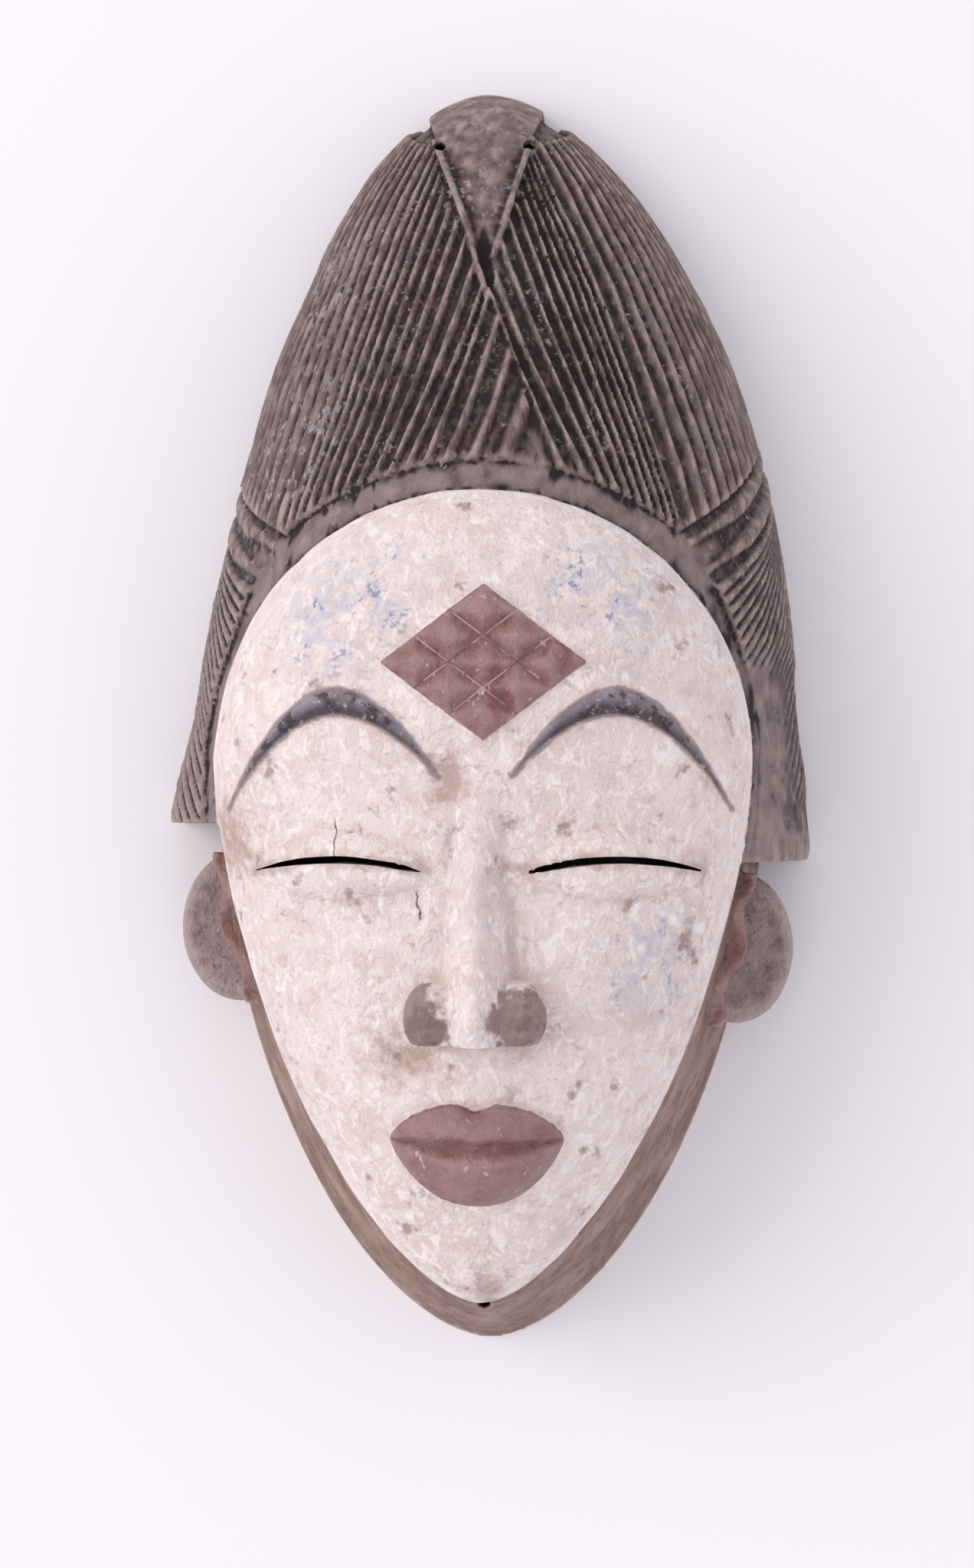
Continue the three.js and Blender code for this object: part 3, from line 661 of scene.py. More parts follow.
def stroke_kept(name, v, y):
    """How much of a flap's stroke is left: short and worn on the left, long and fine on the right."""
    if name == "left":
        cut = mix(0.5, 1, smooth((0.66 - v) / 0.3))
        beads = 0.6 * bump((v - 0.74) / 0.09, 0) * smooth((14 - y) / 12)
        kept = np.maximum(cut, beads)
    else:
        kept = smooth((y - 8) / 10) + 0.75 * bump((v - 0.72) / 0.2, 0) * smooth((y + 24) / 8)
    return clamp(kept) * smooth((1 - v) / 0.16)


def flap_solid(name):
    side = SIDES[name]
    outer_top = TIE_OUTER_Y[name] - TIES * TIE_PITCH
    outer_low = FLAP_END_Y["right"] - 3
    outer = [(0, side * OUTER_ANGLE, outer_top), (1, side * OUTER_ANGLE, outer_low)]
    inner = band_stops(side * (TIE_TURN + TIES * TIE_TURN_PITCH), side * FLAP_LOW_TURN, 1)
    strokes = round((outer_top - outer_low) / STROKE_PITCH)

    def shape(u, v):
        share = mix(-STROKE_SLANT, 1, u)
        from_angle, from_y = line_at(inner, clamp(share + STROKE_SLANT))
        to_angle, to_y = line_at(outer, clamp(share))
        away = np.abs(2 * ((u * strokes) % 1) - 1)
        angle = mix(from_angle, to_angle, v)
        y = mix(from_y, to_y, v)
        rise = STROKE_LIFT + STROKE_HEIGHT * stroke_kept(name, v, y) * clamp(1.1 - away**1.6)
        return angle, y, rise

    return relief(f"flap {name}", 10 * strokes, 40, shape, lifted_dome_point, LOCK_ROOT)


def flap_cut(name):
    """What is cut away under a flap, so that it ends square, with a rounded outer corner."""
    side = SIDES[name]
    end = FLAP_END_Y[name]
    half = float(dome_half_width(end)) - FLAP_CORNER
    corner = [
        (side * (half + FLAP_CORNER * math.sin(turn)), end + FLAP_CORNER * (1 - math.cos(turn)))
        for turn in np.linspace(0, math.pi / 2, 7)
    ]
    far = side * (DOME_HALF_WIDTH + 30)
    outline = [(0, end + 2), *corner, (far, end + FLAP_CORNER), (far, CHIN_RIM_Y), (0, CHIN_RIM_Y)]
    return prism(f"flap cut {name}", outline, -BELOW_RIM - 1, ABOVE_ALL)


def coiffure_solid():
    layers = [solid_of(name) for solid_of in (lobe_solid, flap_solid) for name in SIDES]
    layers += [tie_solid(name, index) for name in SIDES for index in range(TIES)]
    layers.append(crest_solid())
    whole = combined(dome_solid("coiffure", lambda y: 0 * y), layers)
    combined(whole, [flap_cut(name) for name in SIDES] + [cleft_solid()], "DIFFERENCE")
    return combined(whole, [rail_solid(name) for name in SIDES])


# Head, face and features

def head_solid():
    wall = [(1, station) for station in np.linspace(0, 1, 12)] + [(1, 1.5), (1, 2)]
    rings = [(radius, 2) for radius in 1 - np.linspace(0, 1, 60)[1:] ** 1.3]

    def place(turn, radius, station):
        rim_x, rim_y = jaw_rim(turn)
        edge_x, edge_y = face_edge(turn)
        under = with_height(rim_x * radius, mix(RIM_MID_Y, rim_y, radius), -BELOW_RIM)
        x, y = edge_x * radius, mix(FACE_MID_Y, edge_y, radius)
        front = with_height(x, y, face_z(x, y) - 2 * FACE_LIP * (2 - station))
        inset = 1 - FACE_LIP / np.hypot(edge_x, edge_y - FACE_MID_Y)
        top_z = edge_z(edge_x, edge_y) - 2 * FACE_LIP
        rise = clamp(station)
        side_x = mix(rim_x, edge_x * inset, rise**0.9)
        side_y = mix(rim_y, mix(FACE_MID_Y, edge_y, inset), rise**0.9)
        side = with_height(side_x, side_y, rise * top_z)
        station = station[:, None]
        return np.where(station < -0.5, under, np.where(station > 1.01, front, side))

    return turned("head", [(0, -1), (1, -1), *wall, *rings], 240, place)


def nose_solid():
    def shape(u, v):
        y = mix(NOSE_ROOT_Y, NOSE_BASE_Y, v)
        across = 2 * u - 1
        x = across * mix(NOSE_ROOT_HALF, NOSE_BASE_HALF, v**1.7)
        tip = 1 - 0.2 * smooth((v - 0.88) / 0.12)
        height = NOSE_HEIGHT * v**1.2 * tip * (1 - np.abs(across) ** 1.9) ** 0.95
        return x, y, height - 0.3

    wing_z = float(face_z(WING_X, WING_Y)) + WING_RISE
    places = {name: (side * WING_X, WING_Y, wing_z) for name, side in SIDES.items()}
    wings = [ball(f"wing {name}", WING_RADII, middle) for name, middle in places.items()]
    reach = WING_X + 2 * WING_RADII[0]
    top_y = NOSE_ROOT_Y + NOSE_HEIGHT
    outline = [(-reach, NOSE_BASE_Y), (reach, NOSE_BASE_Y), (reach, top_y), (-reach, top_y)]
    whole = combined(relief("nose", 40, 60, shape, lifted_face_point, root=5), wings)
    return combined(whole, [prism("nose base", outline, CHIN_EDGE_Z, ABOVE_ALL)], "INTERSECT")


def lip_reach(across, direction):
    height = UPPER_LIP if direction > 0 else LOWER_LIP
    bow = 1 - 0.2 * bump(across / 0.16, 0) if direction > 0 else 1
    return height * clamp(1 - np.abs(across) ** 2.2) ** 0.75 * bow


def mouth_line(across):
    return MOUTH_Y + 1.5 * across * across


def lip_solid(name, direction):
    def shape(u, v):
        across = 2 * u - 1
        x = across * MOUTH_HALF
        y = mouth_line(across) + direction * lip_reach(across, direction) * v
        inner = mix(0.55, 1, smooth(v / 0.3))
        outer = np.sqrt(clamp(1 - (np.maximum(0, v - 0.3) / 0.71) ** 2))
        return x, y, LIP_HEIGHT * np.sqrt(1 - across**2) * np.where(v < 0.3, inner, outer)

    return relief(name, 60, 24, shape, lifted_face_point, root=6)


def eye_line(across):
    return EYE_Y + EYE_ARCH * (1 - across * across)


def lid_solid(name):
    side = SIDES[name]

    def shape(u, v):
        across, up = 2 * u - 1, 2 * v - 1
        x = side * (EYE_X + across * EYE_HALF)
        y = eye_line(across) - 0.8 + up * LID_HALF * (1 - across**2) ** 0.8
        return x, y, LID_HEIGHT * clamp(1 - across**2) ** 0.6 * clamp(1 - up**2) ** 0.6

    return relief(f"lid {name}", 60, 24, shape, lifted_face_point, root=5)


def slit_solid(name):
    side = SIDES[name]

    def place(u, v, upper):
        across = 2 * u - 1
        half = SLIT_HALF_HEIGHT * (1 - across**2) ** 0.7 + 0.05
        x = side * (EYE_X + across * SLIT_HALF_LENGTH)
        z = np.where(upper, SLIT_TO_Z, SLIT_FROM_Z)
        return with_height(x, eye_line(across) + (2 * v - 1) * half, z)

    return slab(f"slit {name}", 40, 2, place)


def brow_line(along):
    peak = (BROW_PEAK[0] - BROW_INNER[0]) / BROW_SPAN
    away = np.where(along < peak, (peak - along) / peak, (along - peak) / (1 - peak))
    end_y = np.where(along < peak, BROW_INNER[1], BROW_OUTER[1])
    return mix(BROW_INNER[0], BROW_OUTER[0], along), mix(BROW_PEAK[1], end_y, np.abs(away) ** 1.9)


def brow_half(along):
    return BROW_WIDTH / 2 * np.sin(math.pi * mix(0.03, 0.97, clamp(along))) ** 0.7


def brow_solid(name):
    side = SIDES[name]

    def shape(u, v):
        across = 2 * v - 1
        line_x, line_y = brow_line(u)
        x, y = side * line_x, line_y + across * brow_half(u)
        rise = BROW_HEIGHT * (1 - 0.75 * across**2) * np.sin(math.pi * mix(0.06, 0.94, u)) ** 0.5
        return x, y, rise

    return relief(f"brow {name}", 60, 12, shape, lifted_face_point, root=4)


def lozenge_cell(row, column):
    half_x = LOZENGE_HALF_WIDTH / LOZENGE_CELLS
    half_y = LOZENGE_HALF_HEIGHT / LOZENGE_CELLS
    centre_x = LOZENGE_CENTRE[0] + (column + row - LOZENGE_CELLS + 1) * half_x
    centre_y = LOZENGE_CENTRE[1] + (column - row) * half_y

    def place(turn, radius, station):
        x = centre_x + half_x * radius * np.sin(turn)
        y = centre_y + half_y * radius * np.cos(turn)
        rise = np.interp(station, (0, 1, 2), (-4, LOZENGE_STEP, LOZENGE_PEAK))
        return lifted_face_point(x, y, rise)

    return turned(f"cell {row} {column}", [(0, 0), (1.01, 0), (1.01, 1), (0, 2)], 4, place)


def ear_solid(name):
    side = SIDES[name]
    profile = [(0, -1), (0.4, -1), (0.85, -1), (0.96, -0.8), (1, -0.4), (1, 0.4), (0.96, 0.8)]
    profile += [(0.85, 1), (0.6, 0.8), (0.3, 0.72), (0, 0.7)]

    def place(turn, radius, station):
        x = side * (EAR_X + EAR_HALF_WIDTH * radius * np.sin(turn))
        y = EAR_Y[name] + EAR_HALF_HEIGHT * radius * np.cos(turn)
        return with_height(x, y, EAR_Z + EAR_THICKNESS / 2 * station)

    return turned(f"ear {name}", profile, 72, place)


def ear_ridge_solid(name):
    """A wavy ridge on the head's side wall, in front of the ear's plate."""
    side = SIDES[name]

    def place(u, v, upper):
        y = EAR_Y[name] + EAR_HALF_HEIGHT * (1 - 2 * v)
        wave = EAR_RIDGE_WAVE * np.cos(4 * math.pi * v)
        z = EAR_RIDGE_Z - 5 * v - wave
        around = math.pi * (u - 0.5)
        thick = EAR_RIDGE_RADIUS * np.sin(math.pi * mix(0.12, 0.88, v)) ** 0.5
        reach = np.where(upper, thick * np.cos(around), -2)
        return with_height(side * (wall_x(y, z) + 0.4 * wave + reach), y, z + thick * np.sin(around))

    return slab(f"ear ridge {name}", 16, 60, place)


# Hollow back and holes

def hollow_rim(turn):
    return outline_point(
        turn, RIM_MID_Y, HOLLOW_HALF_WIDTH, HOLLOW_TOP_Y, HOLLOW_LOW_Y, HOLLOW_POWER, HOLLOW_POWER
    )


def hollow_top(y):
    return mix(HOLLOW_DEPTH, CROWN_HOLLOW_DEPTH, smooth((y - FACE_MID_Y - 25) / 60))


def hollow_z(level, y):
    return hollow_top(y) * clamp(1 - level**HOLLOW_ROUNDNESS) ** HOLLOW_STEEPNESS


def hollow_back_solid():
    rings = [(radius, 0) for radius in 1 - np.linspace(0, 1, 28) ** 1.5]

    def place(turn, radius, station):
        x, y = hollow_rim(turn)
        place_y = mix(RIM_MID_Y, y, radius)
        z = np.where(station < -0.5, -2 * BELOW_RIM, hollow_z(radius, place_y))
        return with_height(x * radius, place_y, z)

    return turned("hollow back", [(0, -1), (1, -1), *rings], 120, place)


def hole_solid(name, x, y):
    turns = np.linspace(0, 2 * math.pi, 17)[:-1]
    outline = [(x + HOLE_RADIUS * math.cos(turn), y + HOLE_RADIUS * math.sin(turn)) for turn in turns]
    return prism(name, outline, -2 * BELOW_RIM, ABOVE_ALL)


def mask_solid():
    parts = [head_solid(), nose_solid(), lip_solid("upper lip", 1), lip_solid("lower lip", -1)]
    parts += [make(name) for make in (ear_solid, ear_ridge_solid, lid_solid, brow_solid) for name in SIDES]
    parts += [lozenge_cell(*cell) for cell in np.ndindex(LOZENGE_CELLS, LOZENGE_CELLS)]
    carved = combined(coiffure_solid(), parts)
    far = CROWN_Y - CHIN_RIM_Y
    below = [(-far, -far), (far, -far), (far, far), (-far, far)]
    cuts = [hollow_back_solid()] + [hole_solid(name, *place) for name, place in HOLES.items()]
    cuts.append(prism("below the rim", below, -10 * BELOW_RIM, 0))
    return combined(carved, cuts, "DIFFERENCE")


# From the joined solids to one worn surface

def read(items, field, width):
    values = np.empty(len(items) * width, np.float32)
    items.foreach_get(field, values)
    return values.reshape(-1, width).astype(float)


def points_of(mesh):
    return read(mesh.vertices, "co", 3)


def averaged(mesh, values, times):
    """Each vertex's values blended with its neighbours', a number of times over."""
    pairs = np.empty(2 * len(mesh.edges), np.int32)
    mesh.edges.foreach_get("vertices", pairs)
    near, far = pairs.reshape(-1, 2).T
    count = np.bincount(pairs, minlength=len(values))
    for _ in range(times):
        total = [
            np.bincount(near, column[far], len(values)) + np.bincount(far, column[near], len(values))
            for column in values.T
        ]
        values = 0.5 * (values + (np.array(total) / count).T)
    return values


def relief_of(mesh, times):
    """How far each vertex stands proud of its surroundings, in millimetres."""
    points = points_of(mesh)
    normals = read(mesh.vertex_normals, "vector", 3)
    return np.sum((points - averaged(mesh, points, times)) * normals, axis=1)


def modified(piece, kind, **settings):
    step = piece.modifiers.new(kind, kind)
    for name, value in settings.items():
        setattr(step, name, value)
    settle(piece)


def face_depth(x, y):
    """Roughly how far inside the face's outline a place is, in millimetres."""
    return (1 - face_level(x, y)) * FACE_HALF_WIDTH * 0.8


def in_hair(x, y):
    return np.minimum(-face_depth(x, y), y - by_side(x, FLAP_END_Y))


def inside_depth(x, y, z):
    """How far a place is within the hollow's skin of raw wood, in millimetres."""
    reach = np.where(y > RIM_MID_Y, HOLLOW_TOP_Y - RIM_MID_Y, RIM_MID_Y - HOLLOW_LOW_Y)
    level = super_level(x / HOLLOW_HALF_WIDTH, (y - RIM_MID_Y) / reach, HOLLOW_POWER)
    under_roof = np.where(level < 1, hollow_z(np.minimum(level, 1), y) + SKIN - z, RIM_SKIN - z)
    rise = z / hollow_top(y)
    wall = (1 - clamp(rise) ** (1 / HOLLOW_STEEPNESS)) ** (1 / HOLLOW_ROUNDNESS)
    within_wall = (wall - level) * HOLLOW_HALF_WIDTH + WALL_SKIN
    return np.where(rise < HOLLOW_WALL_SHARE, np.maximum(under_roof, within_wall), under_roof)


def spots(x, y, places):
    return sum(bump((x - place[0]) / place[2], (y - place[1]) / place[2]) for place in places)


def set_points(mesh, points):
    mesh.vertices.foreach_set("co", points.astype(np.float32).ravel())
    mesh.update()


def worn(mesh):
    """Knife marks, dents and worn edges, moved along the normals."""
    points = points_of(mesh)
    normals = read(mesh.vertex_normals, "vector", 3)
    x, y, z = points.T
    inside = smooth(inside_depth(x, y, z) / 2) * (z > 2 * RIM_SKIN)
    hair = smooth(in_hair(x, y) / 3) * (1 - inside)
    face = smooth(face_depth(x, y) / 3) * (1 - inside) * (z > face_z(x, y) - 4)
    jaw = clamp(1 - hair - face - inside)
    move = 0.22 * noise(points, 19, 1)
    move += face * 0.14 * noise(points, 7, 2)
    move += jaw * 0.25 * noise(points * (1, 0.28, 1), 4.5, 6)
    move += hair * 0.14 * noise(points, 3.6, 8)
    gouge = np.abs(noise(points * (1, 0.45, 0.7), 9, 10))
    move += inside * (0.5 - 1.1 * np.sqrt(gouge))
    edge = clamp(relief_of(mesh, 5) / 0.35)
    move -= edge * 0.3 * clamp(0.35 + noise(points, 5, 11))
    points += normals * (move * smooth(z / 2))[:, None]
    points[:, 2] = np.where(points[:, 2] < 0.4, 0, points[:, 2])
    set_points(mesh, points)


def softened(mesh):
    """Blends the seams round the nose, as a carver rounds them with sandpaper."""
    points = points_of(mesh)
    share = clamp(spots(points[:, 0], points[:, 1], SOFT_SPOTS)) * (points[:, 2] > CHEEK_Z - 12)
    set_points(mesh, mix(points, averaged(mesh, points, 6), share[:, None]))


# Where each finish lies, kept on the mesh as distances in millimetres

def brow_share(x):
    return (np.abs(x) - BROW_INNER[0]) / BROW_SPAN


def over_brow(x, y):
    return y - brow_line(clamp(brow_share(x)))[1]


def brow_depth(x, y):
    along = brow_share(x)
    kept = clamp(along)
    step = 0.01
    slope = (brow_line(kept + step)[1] - brow_line(kept - step)[1]) / (2 * step * BROW_SPAN)
    side = brow_half(kept) - np.abs(over_brow(x, y))
    return np.minimum(side / np.sqrt(1 + slope**2), BROW_SPAN * np.minimum(along, 1 - along) + 0.4)


def lip_depth(x, y):
    across = np.clip(x / MOUTH_HALF, -1, 1)
    rise = y - mouth_line(across)
    reach = np.where(rise > 0, lip_reach(across, 1), lip_reach(across, -1))
    return np.minimum(reach - np.abs(rise), MOUTH_HALF - np.abs(x))


def lozenge_depth(x, y):
    across = np.abs(x - LOZENGE_CENTRE[0]) / LOZENGE_HALF_WIDTH
    up = np.abs(y - LOZENGE_CENTRE[1]) / LOZENGE_HALF_HEIGHT
    return (1 - across - up) * LOZENGE_INNER_RADIUS


def ear_depth(x, y, z):
    up = (y - by_side(x, EAR_Y)) / EAR_HALF_HEIGHT
    reach = super_level((np.abs(x) - EAR_X) / EAR_HALF_WIDTH, up, 2)
    plate = np.minimum((1.08 - reach) * 14, EAR_PAINT_TOP_Z - z)
    return np.minimum(plate, np.abs(x) - EAR_PAINT_INNER_X)


def ear_ridge_depth(x, y, z):
    ridge = np.minimum(np.abs(x) - wall_x(y, z) - 0.6, 6 - np.abs(z - EAR_RIDGE_Z + 2))
    return np.minimum(ridge, EAR_HALF_HEIGHT + 1 - np.abs(y - by_side(x, EAR_Y)))


def slit_nearness(x, y):
    across = (np.abs(x) - EYE_X) / SLIT_HALF_LENGTH
    past_end = np.maximum(0, np.abs(across) - 1) * SLIT_HALF_LENGTH
    return bump((y - eye_line(np.clip(across, -1, 1))) / 2.4, past_end / 4)


def flap_share(x, y):
    """1 on the left flap, below its ties, which is worn and painted paler as the lit side, and -1 on the
    right one, painted darker as the side in shade.
    """
    foot_x, foot_y = band_edge(TIE_TURN + TIES * TIE_TURN_PITCH)
    tie_y = foot_y + (np.abs(x) - foot_x) * 0.9
    return smooth((tie_y - y + 4) / 8) * -np.sign(x)


def mark_finishes(mesh):
    points = points_of(mesh)
    x, y, z = points.T
    marks = {
        "kaolin": np.minimum(face_depth(x, y), z - face_z(x, y) + 3.2),
        "brow": brow_depth(x, y),
        "over_brow": over_brow(x, y),
        "lip": lip_depth(x, y),
        "lozenge": lozenge_depth(x, y),
        "hair": in_hair(x, y),
        "flap": flap_share(x, y),
        "ear": ear_depth(x, y, z),
        "ear_ridge": ear_ridge_depth(x, y, z),
        "inside": inside_depth(x, y, z),
        "slit": slit_nearness(x, y),
        "fine": relief_of(mesh, 3),
        "broad": relief_of(mesh, 30),
        "cool": spots(x, y, COOL_SPOTS),
        "wear": spots(x, y, WEAR_SPOTS),
        "bare": spots(x, y, BARE_SPOTS) * smooth((z - face_z(x, y) - 0.8) / 1.6),
        "scuff": spots(x, y, SCUFF_SPOTS),
        "cleft": spots(x, y, CLEFT_SHADE_SPOTS),
    }
    for name, values in marks.items():
        layer = mesh.attributes.new(name, "FLOAT", "POINT")
        layer.data.foreach_set("value", values.astype(np.float32))


# Finishes

def linear(code):
    """An sRGB hex colour as the linear colour that a socket takes."""
    parts = [int(code[i : i + 2], 16) / 255 for i in (1, 3, 5)]
    return (*(c / 12.92 if c <= 0.04045 else ((c + 0.055) / 1.055) ** 2.4 for c in parts), 1)


def add(tree, kind, inputs=None, output=None, **settings):
    """Adds a node with its settings and links, and gives back an output of it."""
    made = tree.nodes.new(f"ShaderNode{kind}")
    for name, value in settings.items():
        setattr(made, name, value)
    shown = [socket for socket in made.inputs if socket.enabled]
    for key, value in (inputs or {}).items():
        socket = shown[key] if isinstance(key, int) else made.inputs[key]
        if isinstance(value, bpy.types.NodeSocket):
            tree.links.new(value, socket)
        else:
            socket.default_value = value
    if output:
        return made.outputs[output]
    return next((socket for socket in made.outputs if socket.enabled), made)


class Surface:
    """The layers of one painted surface, each laid over the last by how much of it shows."""

    def __init__(self, tree):
        self.tree = tree
        self.place = add(tree, "TexCoord", output="Object")
        self.color = None
        self.rough = None
        self.within = []
        self.patterns = 0

    def patches(self, size, low, high, most=1, least=0, stretch=(1, 1, 1), crumb=0.6, twist=0):
        """Uneven patches that measure size in millimetres, each call's in other places."""
        self.patterns += 1
        shift = (PATTERN_SHIFT * MM * self.patterns, 0, 0)
        spread = add(self.tree, "Mapping", {"Vector": self.place, "Scale": stretch, "Location": shift})
        detail = min(4, math.log2(size / FINEST))
        grains = {"Vector": spread, "Scale": 1 / (size * MM), "Detail": detail, "Roughness": crumb}
        grains["Distortion"] = twist
        pattern = add(self.tree, "TexNoise", grains)
        return add(self.tree, "MapRange", {0: pattern, 1: low, 2: high, 3: least, 4: most})

    def where(self, name, low, high, most=1, size=None, ragged=(0, 1)):
        """How much shows by a distance kept on the mesh: none at low, most at high, broken up if sized."""
        kept = add(self.tree, "Attribute", output="Fac", attribute_name=name)
        if size:
            uneven = self.patches(size, 0.3, 0.7, ragged[1], ragged[0])
            kept = add(self.tree, "Math", {0: kept, 1: uneven}, operation="ADD")
        return add(self.tree, "MapRange", {0: kept, 1: low, 2: high, 3: 0, 4: most})

    def painted(self, name, soft, ragged, size):
        """A painted area with an uneven border: soft, ragged and size are in millimetres."""
        return self.where(name, -soft, soft, size=size, ragged=(-ragged, ragged))

    def share_of(self, shares):
        whole = shares[0]
        for share in shares[1:]:
            whole = add(self.tree, "Math", {0: whole, 1: share}, operation="MULTIPLY")
        return whole

    def lay(self, code, *shares, rough=None):
        """Lays a colour over the last ones, where the area at hand and all the shares are 1."""
        share = self.share_of([*self.within, *shares])
        layers = {0: share, 1: self.color, 2: linear(code)}
        self.color = add(self.tree, "Mix", layers, data_type="RGBA")
        if rough is not None:
            self.rough = add(self.tree, "Mix", {0: share, 1: self.rough, 2: rough})


def bare_wood(surface, lay, patches, where):
    """Bare carved softwood, brown with age, with a fine straight grain, a painted highlight on proud edges
    and painted shade in creases.
    """
    surface.color = linear("#8f7468")
    surface.rough = 0.7
    lay("#7c6259", patches(3, 0.4, 0.62, stretch=(1, 0.12, 1)))
    lay("#a58d84", patches(16, 0.45, 0.7), rough=0.75)
    lay("#6d544c", patches(2.2, 0.56, 0.66, 0.7, stretch=(1, 0.3, 1)))
    # Painted highlight: proud edges laid paler.
    lay("#b09a90", where("fine", 0.03, 0.2))
    # Painted shade: creases laid darker.
    lay("#6b544d", where("fine", -0.03, -0.25))
    lay("#96716a", where("kaolin", -3.4, -1), patches(9, 0.4, 0.55))


def stained_hair(surface, lay, patches, where):
    """Dark stained and smoked wood: painted shade near black in the cuts, and ridges rubbed grey-brown
    with a painted highlight.
    """
    surface.within = [surface.painted("hair", 0.25, 0.2, 2)]
    lay("#54423f", rough=0.62)
    lay("#6e5d5a", patches(2.2, 0.42, 0.62, stretch=(1, 0.2, 1)))
    lay("#523c39", patches(9, 0.5, 0.66))
    lay("#6d6163", patches(14, 0.5, 0.62, 0.6))
    # Left flap laid paler: partly worn, partly painted light on the side the light comes from.
    flap = where("flap", 0.1, 1, 0.5)
    lay("#918281", flap, patches(7, 0.3, 0.6, least=0.5))
    # Painted shade: the right flap laid darker, as the side away from the light.
    lay("#544446", where("flap", -0.5, -1, 0.6), where("hair", 1, 5))
    band = where("hair", BAND_WIDTH + 0.6, BAND_WIDTH - 0.8)
    lay("#8a7a79", band, patches(5, 0.3, 0.62, 0.9, 0.3))
    # Painted highlight on the ridges, partly rubbed wear: every ridge is laid paler and less rough, more
    # so in rubbed patches.
    ridge = where("fine", 0.01, 0.12)
    rubbed = patches(3, 0.38, 0.6, least=0.12, stretch=(1, 0.3, 1))
    lay("#a3918a", ridge, rubbed, rough=0.5)
    # Painted shade: the cuts between locks are laid near black.
    lay("#281d1e", where("fine", -0.01, -0.1), rough=0.8)
    dust = patches(2.4, 0.54, 0.64, crumb=0.75, stretch=(1, 0.6, 1))
    lay("#a19a9d", where("scuff", 0.8, 1.5, 0.9, 6), dust, rough=0.8)
    lay("#948887", patches(11, 0.5, 0.62), patches(1.5, 0.58, 0.68), rough=0.8)
    # Painted shade: the cleft under the crest's tip is laid near black.
    lay("#221a1c", where("cleft", 0.35, 0.9), where("fine", 0.1, 0), rough=0.9)


def smoked_ears(surface, lay, patches, where):
    """The ears' plates are smoked grey-brown, and the ridges before them keep some red ochre."""
    surface.within = [surface.painted("ear", 0.4, 0.4, 3)]
    lay("#a3918e", rough=0.65)
    lay("#857371", patches(5, 0.42, 0.65))
    lay("#705f5e", patches(1.8, 0.56, 0.68, 0.7))
    # Painted highlight: proud parts of the ear plates laid paler.
    lay("#ab9a97", where("fine", 0.02, 0.15))
    surface.within = [surface.painted("ear_ridge", 0.5, 0.4, 3)]
    lay("#875f5a", rough=0.6)
    lay("#6e4a47", patches(4, 0.45, 0.65))
    # Painted highlight: proud parts of the ear ridges laid paler.
    lay("#a78b86", where("fine", 0.03, 0.2))


def kaolin_paint(surface, lay, patches, where):
    """White clay paint brushed on by hand: chalky, crusted in strokes, rubbed thin over the wood."""
    surface.within = [surface.painted("kaolin", 0.25, 0.15, 2)]
    lay("#e5d9d5", rough=0.88)
    lay("#dccbc4", patches(22, 0.42, 0.66, 0.8))
    lay("#d6c4bc", patches(9, 0.48, 0.64, 0.75, twist=0.6))
    lay("#d0c7c8", patches(30, 0.5, 0.62, 0.7), patches(6, 0.4, 0.6))
    lay("#f2ebe7", patches(3.6, 0.5, 0.64, 0.8, stretch=(1, 0.6, 1), twist=1.4))
    lay("#c9b5ad", patches(2.6, 0.56, 0.68, 0.5, stretch=(0.7, 1, 1), twist=1.2))
    cool = where("cool", 0.15, 0.9)
    lay("#c3c1c9", cool, patches(4, 0.44, 0.6, 0.85, twist=1))
    lay("#9296b2", cool, patches(7, 0.56, 0.63), patches(1.6, 0.5, 0.6))
    stains = patches(20, 0.48, 0.6, 1, 0.05)
    flecks = patches(2.6, 0.58, 0.7, crumb=0.7, twist=0.8)
    lay("#c6b1a7", stains, flecks, rough=0.75)
    lay("#c2aaa1", where("wear", 0.75, 1.5, 0.75, 6), rough=0.75)
    lay("#a98e84", where("wear", 1.05, 1.5, 0.6, 3), rough=0.75)
    # Painted shade: darker round the eye slits.
    lay("#ac9389", where("slit", 0.9, 1.6, 0.7, 4), rough=0.75)
    lay("#8a736d", where("bare", 0.8, 1.05, 0.9, 8), rough=0.6)
    lay("#6f5a56", where("bare", 1.05, 1.5, 0.7, 4), rough=0.6)
    # Painted shade: creases in the white paint laid darker.
    lay("#ab9386", where("fine", -0.06, -0.3, 0.7))
    # Painted shade: broad hollows of the face laid darker.
    lay("#bfaaa0", where("broad", -0.3, -1.4, 0.4))
    lay("#f1eae8", where("kaolin", 1.3, 0.5, 0.5), patches(5, 0.4, 0.52))


def soot_brows(surface, lay, patches, where):
    """Soot black rubbed into the brows and worn off their edges, with a painted highlight: grey with a
    bluish sheen over the top, partly rubbed, and soot black only towards the lower edge.
    """
    surface.within = [surface.painted("brow", 0.4, 0.3, 4)]
    # Painted highlight: each brow is laid grey with a bluish sheen, and soot black is laid only over its
    # lower part.
    lay("#84757a", rough=0.7)
    lay("#918c95", patches(7, 0.42, 0.6))
    lower = where("over_brow", 1.4, -1.2, 0.9)
    lay("#463d42", where("brow", 0.2, 0.8), lower)
    lay("#352c30", patches(4, 0.52, 0.62, 0.85), where("brow", 0.3, 1.2))
    lay("#a3877c", where("brow", 0.8, 0, 0.8), patches(4, 0.4, 0.55))
    lay("#b5a6a2", patches(2, 0.6, 0.68, 0.7, crumb=0.7))


